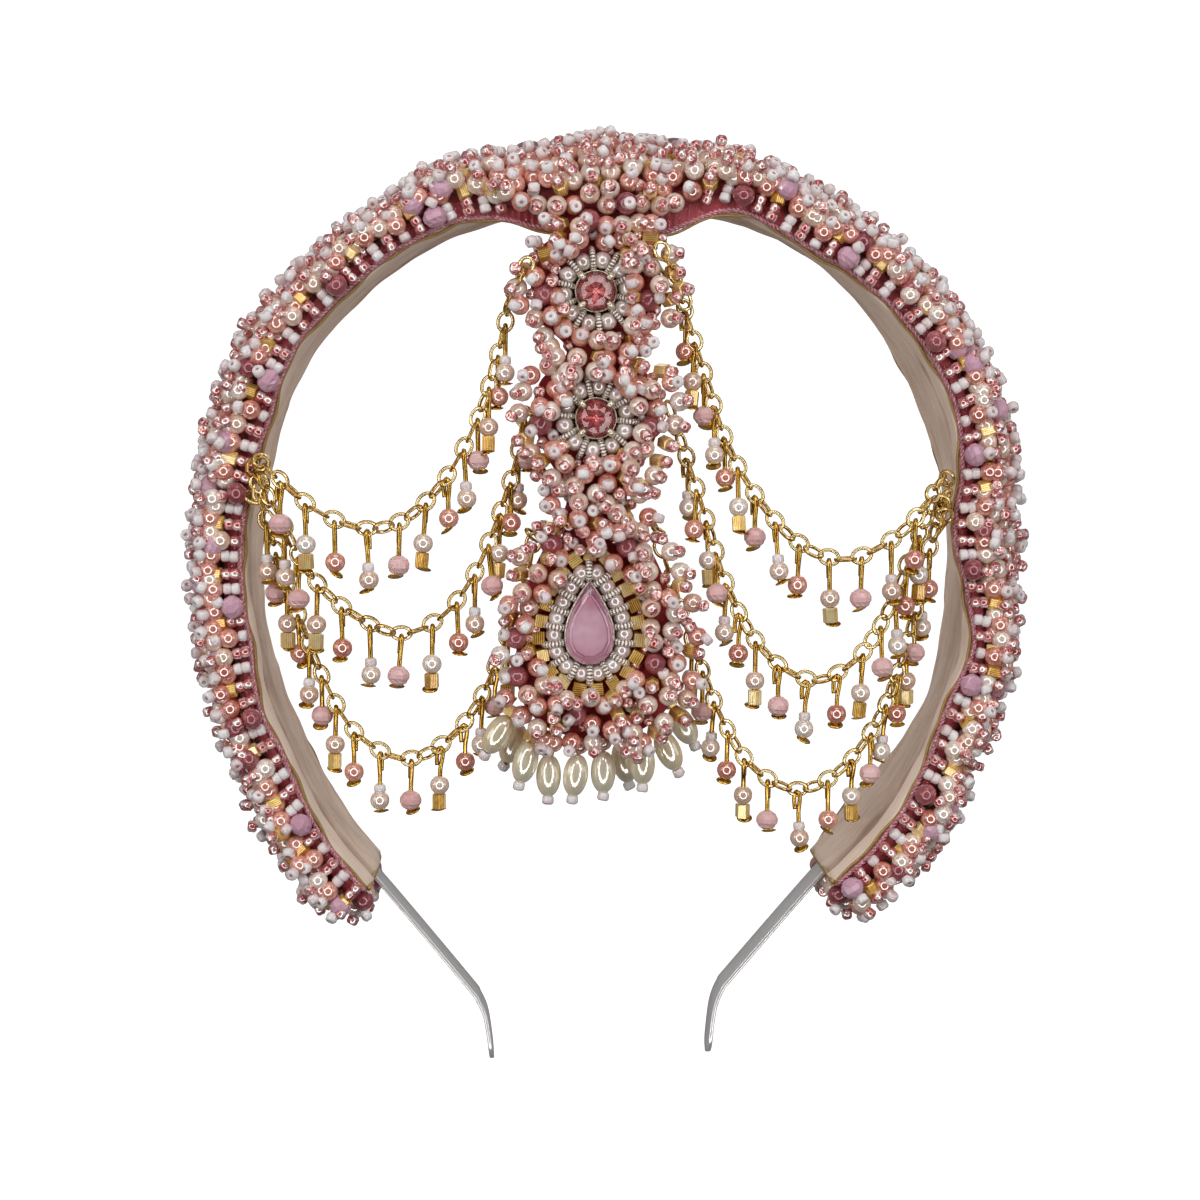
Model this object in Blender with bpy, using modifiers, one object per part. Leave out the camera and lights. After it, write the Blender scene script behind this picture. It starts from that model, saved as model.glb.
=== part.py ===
"""Maang tikka headband.

A padded, bead-covered arch on a flat steel strip, with a three-lobed jewelled pendant hanging on the
forehead side and three swags of drop chain on each side.

Frame: +Z up, the forehead side faces -Y, +X is the wearer's left. The origin is the middle of the arch's
inner face, where the band sits on top of the head. Sizes below are in millimetres.
"""

import math

import bmesh
import bpy
import numpy as np
from mathutils import Matrix, Vector

MM = 0.001
NAME = "maang_tikka_headband"

# ---- driving sizes (mm) -------------------------------------------------------------------------------
CENTRE_Z = -62.0  # centre that the arch's radii are measured from, below the origin
END_ANGLE = 143.0  # the padded arch ends this far round from the top, each way
FRONT_Y, BACK_Y = -14.0, 15.0  # front and back edge of the lining
FLAT_Y = 4.2  # the lining is flat under the strip, this far each side of the middle
STRIP_W, STRIP_T = 7.0, 0.8
LINING_T = 1.2
GAP = 0.3
STATIONS = 39

FELT_T = 1.4
FELT_FRONT_Y = -16.0  # the pendant felt's bead side
PENDANT_X = -1.0  # the pendant hangs a little off the middle
CRUST_T = 4.8
OVERHANG = 1.1  # the beads stand out past the felt's edge
PEARL_R = 1.5  # ring pearls
STONE_R = 3.28  # round stones
RING_R = 5.3  # ring of pearls round a round stone
PEAR_A, PEAR_B, PEAR_X, PEAR_Z = 5.4, 7.1, -2.4, -70.3  # pear outline: width factor, half height, centre
OVAL_R, OVAL_H = 2.15, 3.7  # oval pearls: radius, half length
TIP_R = 1.0  # seed at an oval pearl's tip

CHAIN_R = 1.0
DROP_PITCH = 5.6
WIRE_R = 0.42

# Inner face of the arch: radii from the centre at each angle from the top, for the lining's wavy front
# edge, the flat middle where the strip lies, and the back edge.
ARCH_COLUMNS = ("angle", "front_left", "front_right", "mid_left", "mid_right", "back_left", "back_right")
ARCH = [
    (0, 58.7, 58.7, 62.0, 62.0, 63.9, 63.9),
    (10, 59.6, 59.6, 62.4, 62.9, 64.0, 65.0),
    (18, 62.2, 64.3, 63.0, 64.4, 64.1, 66.6),
    (30, 63.1, 63.8, 63.4, 65.9, 64.1, 67.8),
    (42, 62.9, 65.0, 63.3, 66.4, 63.6, 67.9),
    (54, 63.0, 65.8, 63.0, 66.2, 63.6, 66.7),
    (66, 60.8, 65.3, 62.0, 65.7, 62.4, 65.8),
    (75, 60.4, 62.8, 61.3, 65.2, 61.2, 65.9),
    (84, 60.4, 59.8, 60.9, 64.6, 61.1, 65.9),
    (93, 60.3, 61.8, 60.8, 64.4, 61.3, 65.9),
    (102, 60.2, 64.5, 61.0, 65.0, 61.8, 66.3),
    (111, 61.9, 63.3, 61.6, 65.4, 62.0, 67.9),
    (120, 62.1, 64.5, 62.4, 65.6, 62.7, 67.4),
    (130, 64.5, 66.2, 64.2, 66.1, 64.6, 66.0),
    (138, 66.4, 67.1, 65.6, 66.6, 66.5, 66.9),
    (143, 67.5, 67.4, 66.5, 66.9, 68.0, 68.6),
]

# Height of the bead crust's crown over the lining's inner face.
CROWN_COLUMNS = ("angle", "left", "right")
CROWN = [
    (0, 12.2, 12.2),
    (10, 11.2, 11.6),
    (20, 10.8, 10.4),
    (30, 9.7, 9.6),
    (60, 9.9, 9.8),
    (90, 9.4, 9.4),
    (120, 9.8, 9.7),
    (132, 10.4, 10.4),
    (143, 9.4, 9.2),
]

# Sections of the pad and of the crust: distance along Y and height over the lining's inner face.
# The crust's heights are fractions of the way from the pad to the crown.
PAD_TOP = [(-14.3, 2.0), (-13.9, 2.8), (-12.0, 3.6), (-7.5, 4.2), (0.5, 4.4), (8.5, 4.2), (13.0, 3.6), (14.9, 2.8), (15.3, 2.0)]
CRUST_TOP = [(-15.2, 0.0), (-17.0, 0.22), (-15.4, 0.62), (-10.5, 0.92), (-3.0, 1.0), (4.0, 1.0), (11.5, 0.92), (16.4, 0.62), (18.0, 0.22), (16.2, 0.0)]

# Bare legs of the strip below the padding, inner face: straight, then a bend inwards to the tip.
LEG_COLUMNS = ("x", "z", "width_share")
LEG_LEFT = [(-39.2, -117.7, 1.0), (-23.3, -137.4, 1.0), (-21.4, -140.2, 1.0), (-20.2, -143.0, 1.0), (-19.6, -146.2, 1.0), (-19.2, -149.6, 0.94), (-19.05, -151.1, 0.7), (-19.0, -151.7, 0.3)]
LEG_RIGHT = [(39.9, -117.3, 1.0), (23.8, -136.0, 1.0), (21.9, -138.5, 1.0), (20.7, -141.2, 1.0), (20.1, -144.2, 1.0), (19.6, -149.0, 0.94), (19.45, -150.5, 0.7), (19.4, -151.1, 0.3)]

# Felt outline of the pendant: half width at each height, from the neck down over its three lobes.
FELT_COLUMNS = ("z", "half_width")
FELT = [
    (-5.2, 8.0),
    (-8.0, 10.8),
    (-14.3, 12.3),
    (-19.5, 11.0),
    (-24.6, 6.2),
    (-29.8, 10.8),
    (-35.5, 12.0),
    (-41.5, 10.2),
    (-49.0, 6.3),
    (-55.5, 9.0),
    (-62.5, 12.4),
    (-70.0, 14.4),
    (-78.0, 15.0),
    (-84.5, 13.8),
    (-88.6, 9.8),
    (-90.6, 4.8),
]
LOBES = [("crust_upper", -5.0, -24.3), ("crust_middle", -24.8, -49.1), ("crust_lower", -49.6, -90.7)]
# Two cabochons sunk among the beads on top of the band: angle from the top, depth, radius, floor height.
CABOCHON_COLUMNS = ("name", "angle", "y", "radius", "floor")
CABOCHONS = [("top_cabochon_left", -9.6, 1.5, 3.2, 7.6), ("top_cabochon_right", 10.6, 1.5, 3.2, 7.9)]
CABOCHON_H = 3.9
ROUND_STONES = [("upper", -1.3, -14.9), ("middle", -1.3, -35.9)]

# Oval pearls along the pendant's lower edge; tilt turns the lower end to -X.
OVAL_COLUMNS = ("x", "y", "z", "tilt")
OVALS = [
    (-18.0, -16.4, -89.6, 32),
    (-15.4, -10.4, -92.2, 22),
    (-13.3, -15.6, -94.6, 15),
    (-9.3, -14.4, -97.2, 2),
    (-4.7, -15.8, -96.9, 8),
    (0.1, -14.6, -96.6, 0),
    (3.9, -11.6, -95.4, -12),
    (6.8, -16.0, -94.9, 0),
    (11.3, -14.8, -92.9, -25),
    (14.2, -10.8, -89.2, -30),
]

# Chains: each row is a point of the swag, from the band to the pendant. The upper chain hangs in front,
# and they come together where they are sewn to the band's front edge.
CHAIN_COLUMNS = ("x", "y", "z")
CHAINS = {
    "chain_left_1": [(-57.6, -16.2, -43.2), (-53.6, -20.2, -46.2), (-47.5, -20.5, -51.3), (-40.0, -19.6, -54.1), (-33.5, -18.4, -52.8), (-27.5, -17.4, -47.2), (-22.6, -16.4, -39.2), (-18.5, -15.2, -28.5), (-15.7, -13.6, -17.2), (-13.8, -13.0, -11.6)],
    "chain_left_2": [(-57.8, -16.0, -46.2), (-54.4, -17.2, -52.0), (-49.7, -17.2, -61.5), (-43.0, -17.0, -68.3), (-34.5, -16.8, -72.1), (-27.2, -16.4, -69.2), (-21.6, -15.8, -61.8), (-17.5, -15.0, -52.0), (-14.6, -13.4, -43.0), (-13.2, -13.0, -35.4)],
    "chain_left_3": [(-57.7, -15.6, -49.2), (-55.2, -13.9, -59.0), (-51.3, -13.8, -70.5), (-47.5, -13.9, -80.5), (-42.2, -14.0, -89.6), (-34.0, -14.0, -94.1), (-26.6, -13.4, -91.0), (-21.2, -12.2, -84.4), (-17.0, -11.6, -75.0), (-13.2, -12.0, -64.5), (-11.6, -13.0, -56.5)],
    "chain_right_1": [(57.6, -16.2, -46.4), (53.6, -19.8, -51.4), (48.5, -20.3, -56.3), (41.0, -19.6, -59.6), (33.6, -18.6, -57.3), (27.0, -17.6, -50.6), (21.4, -16.6, -41.2), (17.3, -15.4, -29.0), (13.9, -13.8, -17.5), (11.6, -13.0, -11.2)],
    "chain_right_2": [(57.4, -16.0, -49.6), (53.4, -17.0, -56.6), (48.9, -17.2, -68.1), (43.5, -17.1, -76.8), (35.8, -16.9, -80.5), (27.6, -16.6, -75.6), (21.5, -16.0, -65.2), (17.6, -15.2, -53.0), (14.0, -13.6, -41.5), (11.6, -13.0, -34.6)],
    "chain_right_3": [(57.3, -15.6, -52.8), (55.8, -13.8, -60.5), (53.0, -13.8, -73.0), (48.5, -13.9, -86.6), (41.6, -14.0, -96.4), (34.0, -14.0, -100.0), (26.2, -13.8, -96.2), (20.6, -13.2, -87.4), (15.9, -12.2, -75.0), (12.2, -12.2, -64.5), (9.4, -13.0, -55.6)],
}
# First drop on each chain: distance along it, and its place in the repeat of four.
# Where the chain is steep, every other drop leans aside along Y by lean, so that it clears the next.
DROP_COLUMNS = ("first_at", "first_kind", "last_at", "lean")
DROPS = {
    "chain_left_1": (6.2, 0, 71.0, -1),
    "chain_left_2": (8.8, 3, 82.0, -1),
    "chain_left_3": (4.0, 3, 84.0, 1),
    "chain_right_1": (9.0, 2, 80.0, -1),
    "chain_right_2": (7.0, 1, 86.0, -1),
    "chain_right_3": (5.6, 2, 92.0, 1),
}
LEAN_ANGLE = 10.0
STEEP = 0.75  # rise for each step along the chain from which drops lean
# The repeat: rondelle, pearl over a hex tube, rose pearl, seed over a pearl. Each row is a turned
# profile of (radius, distance below the chain).
DROP_KINDS = [
    ("rondelle", [(WIRE_R, 0.3), (WIRE_R, 5.8), (1.85, 6.7), (1.85, 8.1), (0.8, 9.9)]),
    ("pearl_tube", [(WIRE_R, 0.3), (WIRE_R, 5.4), (1.55, 6.4), (1.55, 7.6), (1.15, 8.5), (1.15, 11.2)]),
    ("rose_pearl", [(WIRE_R, 0.3), (WIRE_R, 5.4), (1.55, 6.4), (1.55, 7.6), (0.8, 9.4)]),
    ("seed_pearl", [(WIRE_R, 0.3), (WIRE_R, 5.8), (0.95, 6.6), (1.55, 8.2), (1.55, 9.2), (0.9, 10.6)]),
]

# ---- helpers ------------------------------------------------------------------------------------------


def clear_scene():
    for obj in list(bpy.data.objects):
        bpy.data.objects.remove(obj, do_unlink=True)


def collection(name):
    coll = bpy.data.collections.new(name)
    bpy.context.scene.collection.children.link(coll)
    return coll


def material(name, colour, roughness, metallic=0.0):
    mat = bpy.data.materials.new(name)
    mat.use_nodes = True
    shader = mat.node_tree.nodes["Principled BSDF"]
    shader.inputs["Base Color"].default_value = (*colour, 1.0)
    shader.inputs["Roughness"].default_value = roughness
    shader.inputs["Metallic"].default_value = metallic
    return mat


def place(name, data, mat, coll):
    obj = bpy.data.objects.new(name, data)
    coll.objects.link(obj)
    if mat is not None:
        data.materials.clear()
        data.materials.append(mat)
    return obj


def smooth_through(rows, count):
    """Points at even distances on a Catmull-Rom curve through the rows."""
    pts = np.array(rows, dtype=float)
    ext = np.vstack([2 * pts[0] - pts[1], pts, 2 * pts[-1] - pts[-2]])
    fine = []
    for i in range(1, len(ext) - 2):
        a, b, c, d = ext[i - 1], ext[i], ext[i + 1], ext[i + 2]
        for t in np.linspace(0, 1, 24, endpoint=False):
            fine.append(0.5 * (2 * b + (c - a) * t + (2 * a - 5 * b + 4 * c - d) * t**2 + (3 * b - a - 3 * c + d) * t**3))
    fine = np.array(fine + [pts[-1]])
    run = np.concatenate([[0], np.cumsum(np.linalg.norm(np.diff(fine, axis=0), axis=1))])
    at = np.linspace(0, run[-1], count)
    return np.stack([np.interp(at, run, fine[:, k]) for k in range(pts.shape[1])], axis=1), run[-1]


def column(rows, columns, name, angle):
    """A column of a table at any angle, smooth between its rows."""
    xs = [r[0] for r in rows]
    ys = [r[columns.index(name)] for r in rows]
    slopes = np.gradient(ys, xs)
    i = int(np.clip(np.searchsorted(xs, angle) - 1, 0, len(xs) - 2))
    h = xs[i + 1] - xs[i]
    t = (angle - xs[i]) / h
    return (
        (2 * t**3 - 3 * t**2 + 1) * ys[i]
        + (t**3 - 2 * t**2 + t) * h * slopes[i]
        + (-2 * t**3 + 3 * t**2) * ys[i + 1]
        + (t**3 - t**2) * h * slopes[i + 1]
    )


def arch_radius(angle, y):
    """Radius of the lining's inner face at a signed angle and a depth."""
    side = "left" if angle < 0 else "right"
    front = column(ARCH, ARCH_COLUMNS, "front_" + side, abs(angle))
    mid = column(ARCH, ARCH_COLUMNS, "mid_" + side, abs(angle))
    back = column(ARCH, ARCH_COLUMNS, "back_" + side, abs(angle))
    if y < -FLAT_Y:
        return mid + (front - mid) * ((-FLAT_Y - y) / (-FLAT_Y - FRONT_Y)) ** 1.4
    if y > FLAT_Y:
        return mid + (back - mid) * ((y - FLAT_Y) / (BACK_Y - FLAT_Y)) ** 1.4
    return mid


def at(angle, y, height):
    """World point of the arch: signed angle from the top, depth, height over the lining's inner face."""
    r = arch_radius(angle, min(max(y, FRONT_Y), BACK_Y)) + height
    a = math.radians(angle)
    return Vector((r * math.sin(a), y, CENTRE_Z + r * math.cos(a))) * MM


def loft(name, rings, mat, coll):
    """Closed solid through rings of equal length, with flat ends."""
    bm = bmesh.new()
    loops = [[bm.verts.new(p) for p in ring] for ring in rings]
    n = len(rings[0])
    for a, b in zip(loops, loops[1:]):
        for i in range(n):
            bm.faces.new((a[i], a[(i + 1) % n], b[(i + 1) % n], b[i]))
    bm.faces.new(loops[0])
    bm.faces.new(list(reversed(loops[-1])))
    bmesh.ops.triangulate(bm, faces=bm.faces[:])
    bmesh.ops.recalc_face_normals(bm, faces=bm.faces)
    mesh = bpy.data.meshes.new(name)
    bm.to_mesh(mesh)
    bm.free()
    mesh.shade_smooth()
    mesh.set_sharp_from_angle(angle=math.radians(40))
    return place(name, mesh, mat, coll)


def turned(name, profile, steps, mat, coll, facets=False):
    """Screw of a profile of (radius, height), given from top to bottom."""
    mesh = bpy.data.meshes.new(name)
    mesh.from_pydata([(r * MM, 0, z * MM) for r, z in profile], [(i, i + 1) for i in range(len(profile) - 1)], [])
    obj = place(name, mesh, mat, coll)
    screw = obj.modifiers.new("turn", "SCREW")
    screw.axis = "Z"
    screw.steps = screw.render_steps = steps
    screw.use_merge_vertices = True
    screw.merge_threshold = 0.00001
    screw.use_smooth_shade = not facets
    return obj


def wire_mesh(name, points, radius, resolution, cyclic=False):
    """Round wire through points (mm) as a welded closed mesh."""
    curve = bpy.data.curves.new(name, "CURVE")
    curve.dimensions = "3D"
    curve.bevel_depth = radius * MM
    curve.bevel_resolution = resolution
    curve.use_fill_caps = not cyclic
    spline = curve.splines.new("POLY")
    spline.points.add(len(points) - 1)
    for p, q in zip(spline.points, points):
        p.co = (q[0] * MM, q[1] * MM, q[2] * MM, 1)
    spline.use_cyclic_u = cyclic
    obj = bpy.data.objects.new(name, curve)
    bpy.context.scene.collection.objects.link(obj)
    bpy.context.view_layer.update()
    mesh = bpy.data.meshes.new_from_object(obj.evaluated_get(bpy.context.evaluated_depsgraph_get()))
    bpy.data.objects.remove(obj, do_unlink=True)
    bm = bmesh.new()
    bm.from_mesh(mesh)
    bmesh.ops.remove_doubles(bm, verts=bm.verts, dist=0.000005)
    bmesh.ops.recalc_face_normals(bm, faces=bm.faces)
    bm.to_mesh(mesh)
    bm.free()
    mesh.name = name
    mesh.shade_smooth()
    return mesh


def plate(name, outlines, thickness, y_mid, mat, coll, edge=0.0):
    """Flat piece in the XZ plane from closed outlines (the later ones are holes), facing -Y."""
    curve = bpy.data.curves.new(name, "CURVE")
    curve.dimensions = "2D"
    curve.fill_mode = "BOTH"
    curve.extrude = (thickness / 2 - edge) * MM
    curve.bevel_depth = edge * MM
    curve.bevel_resolution = 0
    curve.offset = -edge * MM
    for outline in outlines:
        spline = curve.splines.new("POLY")
        spline.points.add(len(outline) - 1)
        for p, (x, z) in zip(spline.points, outline):
            p.co = (x * MM, z * MM, 0, 1)
        spline.use_cyclic_u = True
    obj = place(name, curve, mat, coll)
    obj.location = (0, y_mid * MM, 0)
    obj.rotation_euler = (math.radians(90), 0, 0)
    return obj


def boolean(obj, cutter, operation, joined=False):
    mod = obj.modifiers.new(operation.lower(), "BOOLEAN")
    mod.operation = operation
    mod.object = cutter
    mod.solver = "EXACT"
    mod.use_self = joined
    return mod


def guide(obj, coll):
    for c in list(obj.users_collection):
        c.objects.unlink(obj)
    coll.objects.link(obj)
    obj.hide_render = True
    obj.display_type = "WIRE"
    return obj


# ---- the arch -----------------------------------------------------------------------------------------


def arch_angles():
    return np.linspace(-END_ANGLE, END_ANGLE, STATIONS)


def build_lining(mat, coll):
    ys = [FRONT_Y, -11.0, -7.5, -FLAT_Y, FLAT_Y, 8.0, 12.0, BACK_Y]
    rings = []
    for a in arch_angles():
        inner = [at(a, y, 0.0) for y in ys]
        outer = [at(a, y, LINING_T) for y in reversed(ys)]
        rings.append(inner + outer)
    return loft("lining", rings, mat, coll)


def build_pad(mat, coll):
    low = LINING_T + GAP
    channel = low + STRIP_T + GAP
    under = [(14.8, low), (12.0, low), (8.0, low), (FLAT_Y, low), (STRIP_W / 2 + GAP, channel), (-STRIP_W / 2 - GAP, channel), (-FLAT_Y, low), (-7.5, low), (-11.0, low), (-13.8, low)]
    rings = [[at(a, y, h) for y, h in PAD_TOP + under] for a in arch_angles()]
    return loft("band_pad", rings, mat, coll)


def pad_height(y):
    return float(np.interp(y, [p[0] for p in PAD_TOP], [p[1] for p in PAD_TOP]))


def build_crust(mat, coll, guides):
    rings = []
    for a in arch_angles():
        side = "left" if a < 0 else "right"
        crown = column(CROWN, CROWN_COLUMNS, side, abs(a))
        top = []
        for y, share in CRUST_TOP:
            base = 3.2 if abs(share) < 0.01 else pad_height(y) + GAP
            top.append(at(a, y, base + (crown - base) * share))
        under = [at(a, y, pad_height(y) + GAP + 0.2) for y in (14.95, 13.0, 8.5, 0.5, -7.5, -12.0, -13.95)]
        rings.append(top + under)
    crust = loft("band_bead_crust", rings, mat, coll)
    bm = bmesh.new()
    for _, angle, y, radius, floor in CABOCHONS:
        turn = Matrix.Rotation(math.radians(angle), 4, "Y")
        mid = Matrix.Translation(at(angle, y, floor + 4.7))
        bmesh.ops.create_cone(bm, cap_ends=True, segments=14, radius1=(radius + GAP) * MM, radius2=(radius + GAP) * MM, depth=10.0 * MM, matrix=mid @ turn)
    pockets = bpy.data.meshes.new("cabochon_pockets")
    bm.to_mesh(pockets)
    bm.free()
    boolean(crust, guide(place("cabochon_pockets", pockets, None, guides), guides), "DIFFERENCE")
    return crust


def build_cabochons(mat, coll):
    for name, angle, y, radius, floor in CABOCHONS:
        dome = [(0.0, CABOCHON_H), (radius * 0.5, CABOCHON_H * 0.93), (radius * 0.84, CABOCHON_H * 0.7), (radius, CABOCHON_H * 0.38), (radius, 0.0), (0.0, 0.0)]
        obj = turned(name, dome, 12, mat, coll)
        obj.location = at(angle, y, floor)
        obj.rotation_euler = (0, math.radians(angle), 0)


def strip_path():
    """Inner face of the strip: (x, z, width share), from the left tip to the right tip."""
    low = LINING_T + GAP
    arch = []
    for a in np.linspace(-END_ANGLE + 3, END_ANGLE - 3, 37):
        p = at(a, 0.0, low) / MM
        arch.append((p.x, p.z, 1.0))
    return list(reversed(LEG_LEFT)) + arch + LEG_RIGHT


def build_strip(mat, coll):
    path = strip_path()
    edge = 0.2
    half = STRIP_W / 2
    rings = []
    for i, (x, z, share) in enumerate(path):
        a, b = path[max(i - 1, 0)], path[min(i + 1, len(path) - 1)]
        d = Vector((b[0] - a[0], 0, b[1] - a[1])).normalized()
        out = Vector((-d.z, 0, d.x))  # away from the head
        w = half * share
        e = min(edge, w / 2)
        section = [(-w, e), (-w + e, 0), (w - e, 0), (w, e), (w, STRIP_T - e), (w - e, STRIP_T), (-w + e, STRIP_T), (-w, STRIP_T - e)]
        rings.append([(Vector((x, y, z)) + out * h) * MM for y, h in section])
    return loft("steel_band", rings, mat, coll)


# ---- the pendant --------------------------------------------------------------------------------------


def felt_edge(z0, z1, outset):
    """Closed outline of the pendant between two heights, with its edge moved out."""
    fine, _ = smooth_through([(h, z) for z, h in FELT], 29)
    right = [(h, z) for h, z in fine if z1 - 0.01 <= z <= z0 + 0.01]
    half_at = lambda z: float(np.interp(-z, [-r[1] for r in fine], [r[0] for r in fine]))
    if abs(right[0][1] - z0) > 0.3:
        right.insert(0, (half_at(z0), z0))
    if abs(right[-1][1] - z1) > 0.3:
        right.append((half_at(z1), z1))
    pts = [(PENDANT_X + h + outset, z) for h, z in right] + [(PENDANT_X - h - outset, z) for h, z in reversed(right)]
    return pts


def circle(x, z, r, count):
    return [(x + r * math.cos(2 * math.pi * k / count), z + r * math.sin(2 * math.pi * k / count)) for k in range(count)]


def pear(outset, count=26):
    """Pear outline with its point up, moved out by a distance; the point is rounded by that distance."""
    pts = []
    for k in range(count):
        t = 2 * math.pi * (k + 0.5) / count
        s = abs(math.sin(t / 2))
        x, z = PEAR_A * math.sin(t) * s, PEAR_B * math.cos(t)
        e = 1e-4
        x2, z2 = PEAR_A * math.sin(t + e) * abs(math.sin((t + e) / 2)), PEAR_B * math.cos(t + e)
        d = math.hypot(x2 - x, z2 - z)
        nx, nz = -(z2 - z) / d, (x2 - x) / d
        pts.append((PEAR_X + x + nx * outset, PEAR_Z + z + nz * outset))
    tip = [(PEAR_X + math.sin(a) * outset, PEAR_Z + PEAR_B + math.cos(a) * outset) for a in ((-0.45, 0.0, 0.45) if outset > 0.5 else (0.0,))]
    return tip + pts


def build_pendant(mats, coll, guides):
    y_mid = FELT_FRONT_Y + FELT_T / 2
    plate("pendant_backing", [felt_edge(-5.2, -90.6, 0.0)], FELT_T, y_mid, mats["felt"], coll)

    base_y = FELT_FRONT_Y - GAP
    for name, z0, z1 in LOBES:
        outlines = [felt_edge(z0, z1, OVERHANG)]
        for _, x, z in ROUND_STONES:
            if z1 < z < z0:
                outlines.append(circle(x, z, RING_R + PEARL_R + GAP, 16))
        if z1 < PEAR_Z < z0:
            outlines.append(pear(5.9, 21))
        plate(name, outlines, CRUST_T, base_y - CRUST_T / 2, mats["crust"], coll, edge=1.1)

    for label, x, z in ROUND_STONES:
        bpy.ops.mesh.primitive_torus_add(major_segments=18, minor_segments=6, major_radius=RING_R * MM, minor_radius=PEARL_R * MM, rotation=(math.radians(90), 0, 0), location=(x * MM, (base_y - PEARL_R - 0.1) * MM, z * MM))
        ring = bpy.context.object
        ring.name = "pearl_ring_" + label
        ring.data.name = ring.name
        for c in list(ring.users_collection):
            c.objects.unlink(ring)
        coll.objects.link(ring)
        ring.data.materials.append(mats["ring_pearl"])
        ring.data.shade_smooth()

        # Stone: table, crown, girdle, pavilion. Local +Z of the profile is the stone's face, turned to -Y.
        stone = turned("round_stone_" + label, [(0, 4.5), (1.9, 4.5), (STONE_R, 3.3), (STONE_R, 3.05), (0.4, 1.15), (0, 1.15)], 12, mats["rose_glass"], coll, facets=True)
        # Setting: an open cup with a closed floor, and four prongs joined to it.
        cup = turned("setting_" + label, [(0, 0.75), (2.5, 0.75), (2.5, 2.3), (3.35, 2.3), (3.35, 0.0), (0, 0.0)], 14, mats["setting"], coll)
        for obj in (stone, cup):
            obj.location = (x * MM, base_y * MM, z * MM)
            obj.rotation_euler = (math.radians(90), 0, 0)
        bm = bmesh.new()
        for k in range(4):
            c, s = math.cos(math.pi / 4 + k * math.pi / 2), math.sin(math.pi / 4 + k * math.pi / 2)
            prong = wire_mesh("prong", [(c * r, s * r, h) for r, h in ((3.0, 1.6), (3.92, 2.7), (3.92, 3.5), (3.2, 4.25))], 0.34, 0)
            bm.from_mesh(prong)
            bpy.data.meshes.remove(prong)
        joined = bpy.data.meshes.new("prongs_" + label)
        bm.to_mesh(joined)
        bm.free()
        prongs = guide(place("prongs_" + label, joined, None, guides), guides)
        prongs.location, prongs.rotation_euler = cup.location, cup.rotation_euler
        boolean(cup, prongs, "UNION")

    # Pear stone, lofted from its own outline at four depths.
    rings = []
    for inset, depth, toward in ((-0.02, 1.0, 0.45), (0.0, 2.5, 1.0), (0.0, 2.9, 1.0), (0.0, 4.3, 0.66)):
        cz = PEAR_Z - 2.0
        rings.append([Vector((PEAR_X + (px - PEAR_X) * toward, base_y - depth + 0.7, cz + (pz - cz) * toward)) * MM for px, pz in pear(0.0, 20)])
    loft("pear_stone", rings, mats["pink_glass"], coll)

    ring_y = base_y - PEARL_R - 0.1
    pearls = wire_mesh("pearl_ring_lower", [(x, ring_y, z) for x, z in pear(0.25 + PEARL_R, 21)], PEARL_R, 2, cyclic=True)
    place("pearl_ring_lower", pearls, mats["ring_pearl"], coll)
    cubes = wire_mesh("gold_cube_ring", [(x, base_y - 1.05, z) for x, z in pear(4.45, 21)], 1.02, 0, cyclic=True)
    place("gold_cube_ring", cubes, mats["gold"], coll)


def build_ovals(mat, coll):
    profile = [(0.0, OVAL_H)]
    for k in range(1, 6):
        t = math.pi * k / 6
        profile.append((OVAL_R * math.sin(t), OVAL_H * math.cos(t)))
    low = -OVAL_H - 0.55
    profile += [(0.62, low + 0.62), (TIP_R, low), (0.62, low - 0.75), (0.0, low - 0.95)]
    for i, (x, y, z, tilt) in enumerate(OVALS, 1):
        obj = turned("oval_pearl_%02d" % i, profile, 8, mat, coll)
        obj.location = (x * MM, y * MM, z * MM)
        obj.rotation_euler = (0, math.radians(tilt), 0)


# ---- the chains ---------------------------------------------------------------------------------------


def chain_points(name):
    length = smooth_through(CHAINS[name], 10)[1]
    return smooth_through(CHAINS[name], max(12, int(round(length / 4.0))))[0], length


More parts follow.
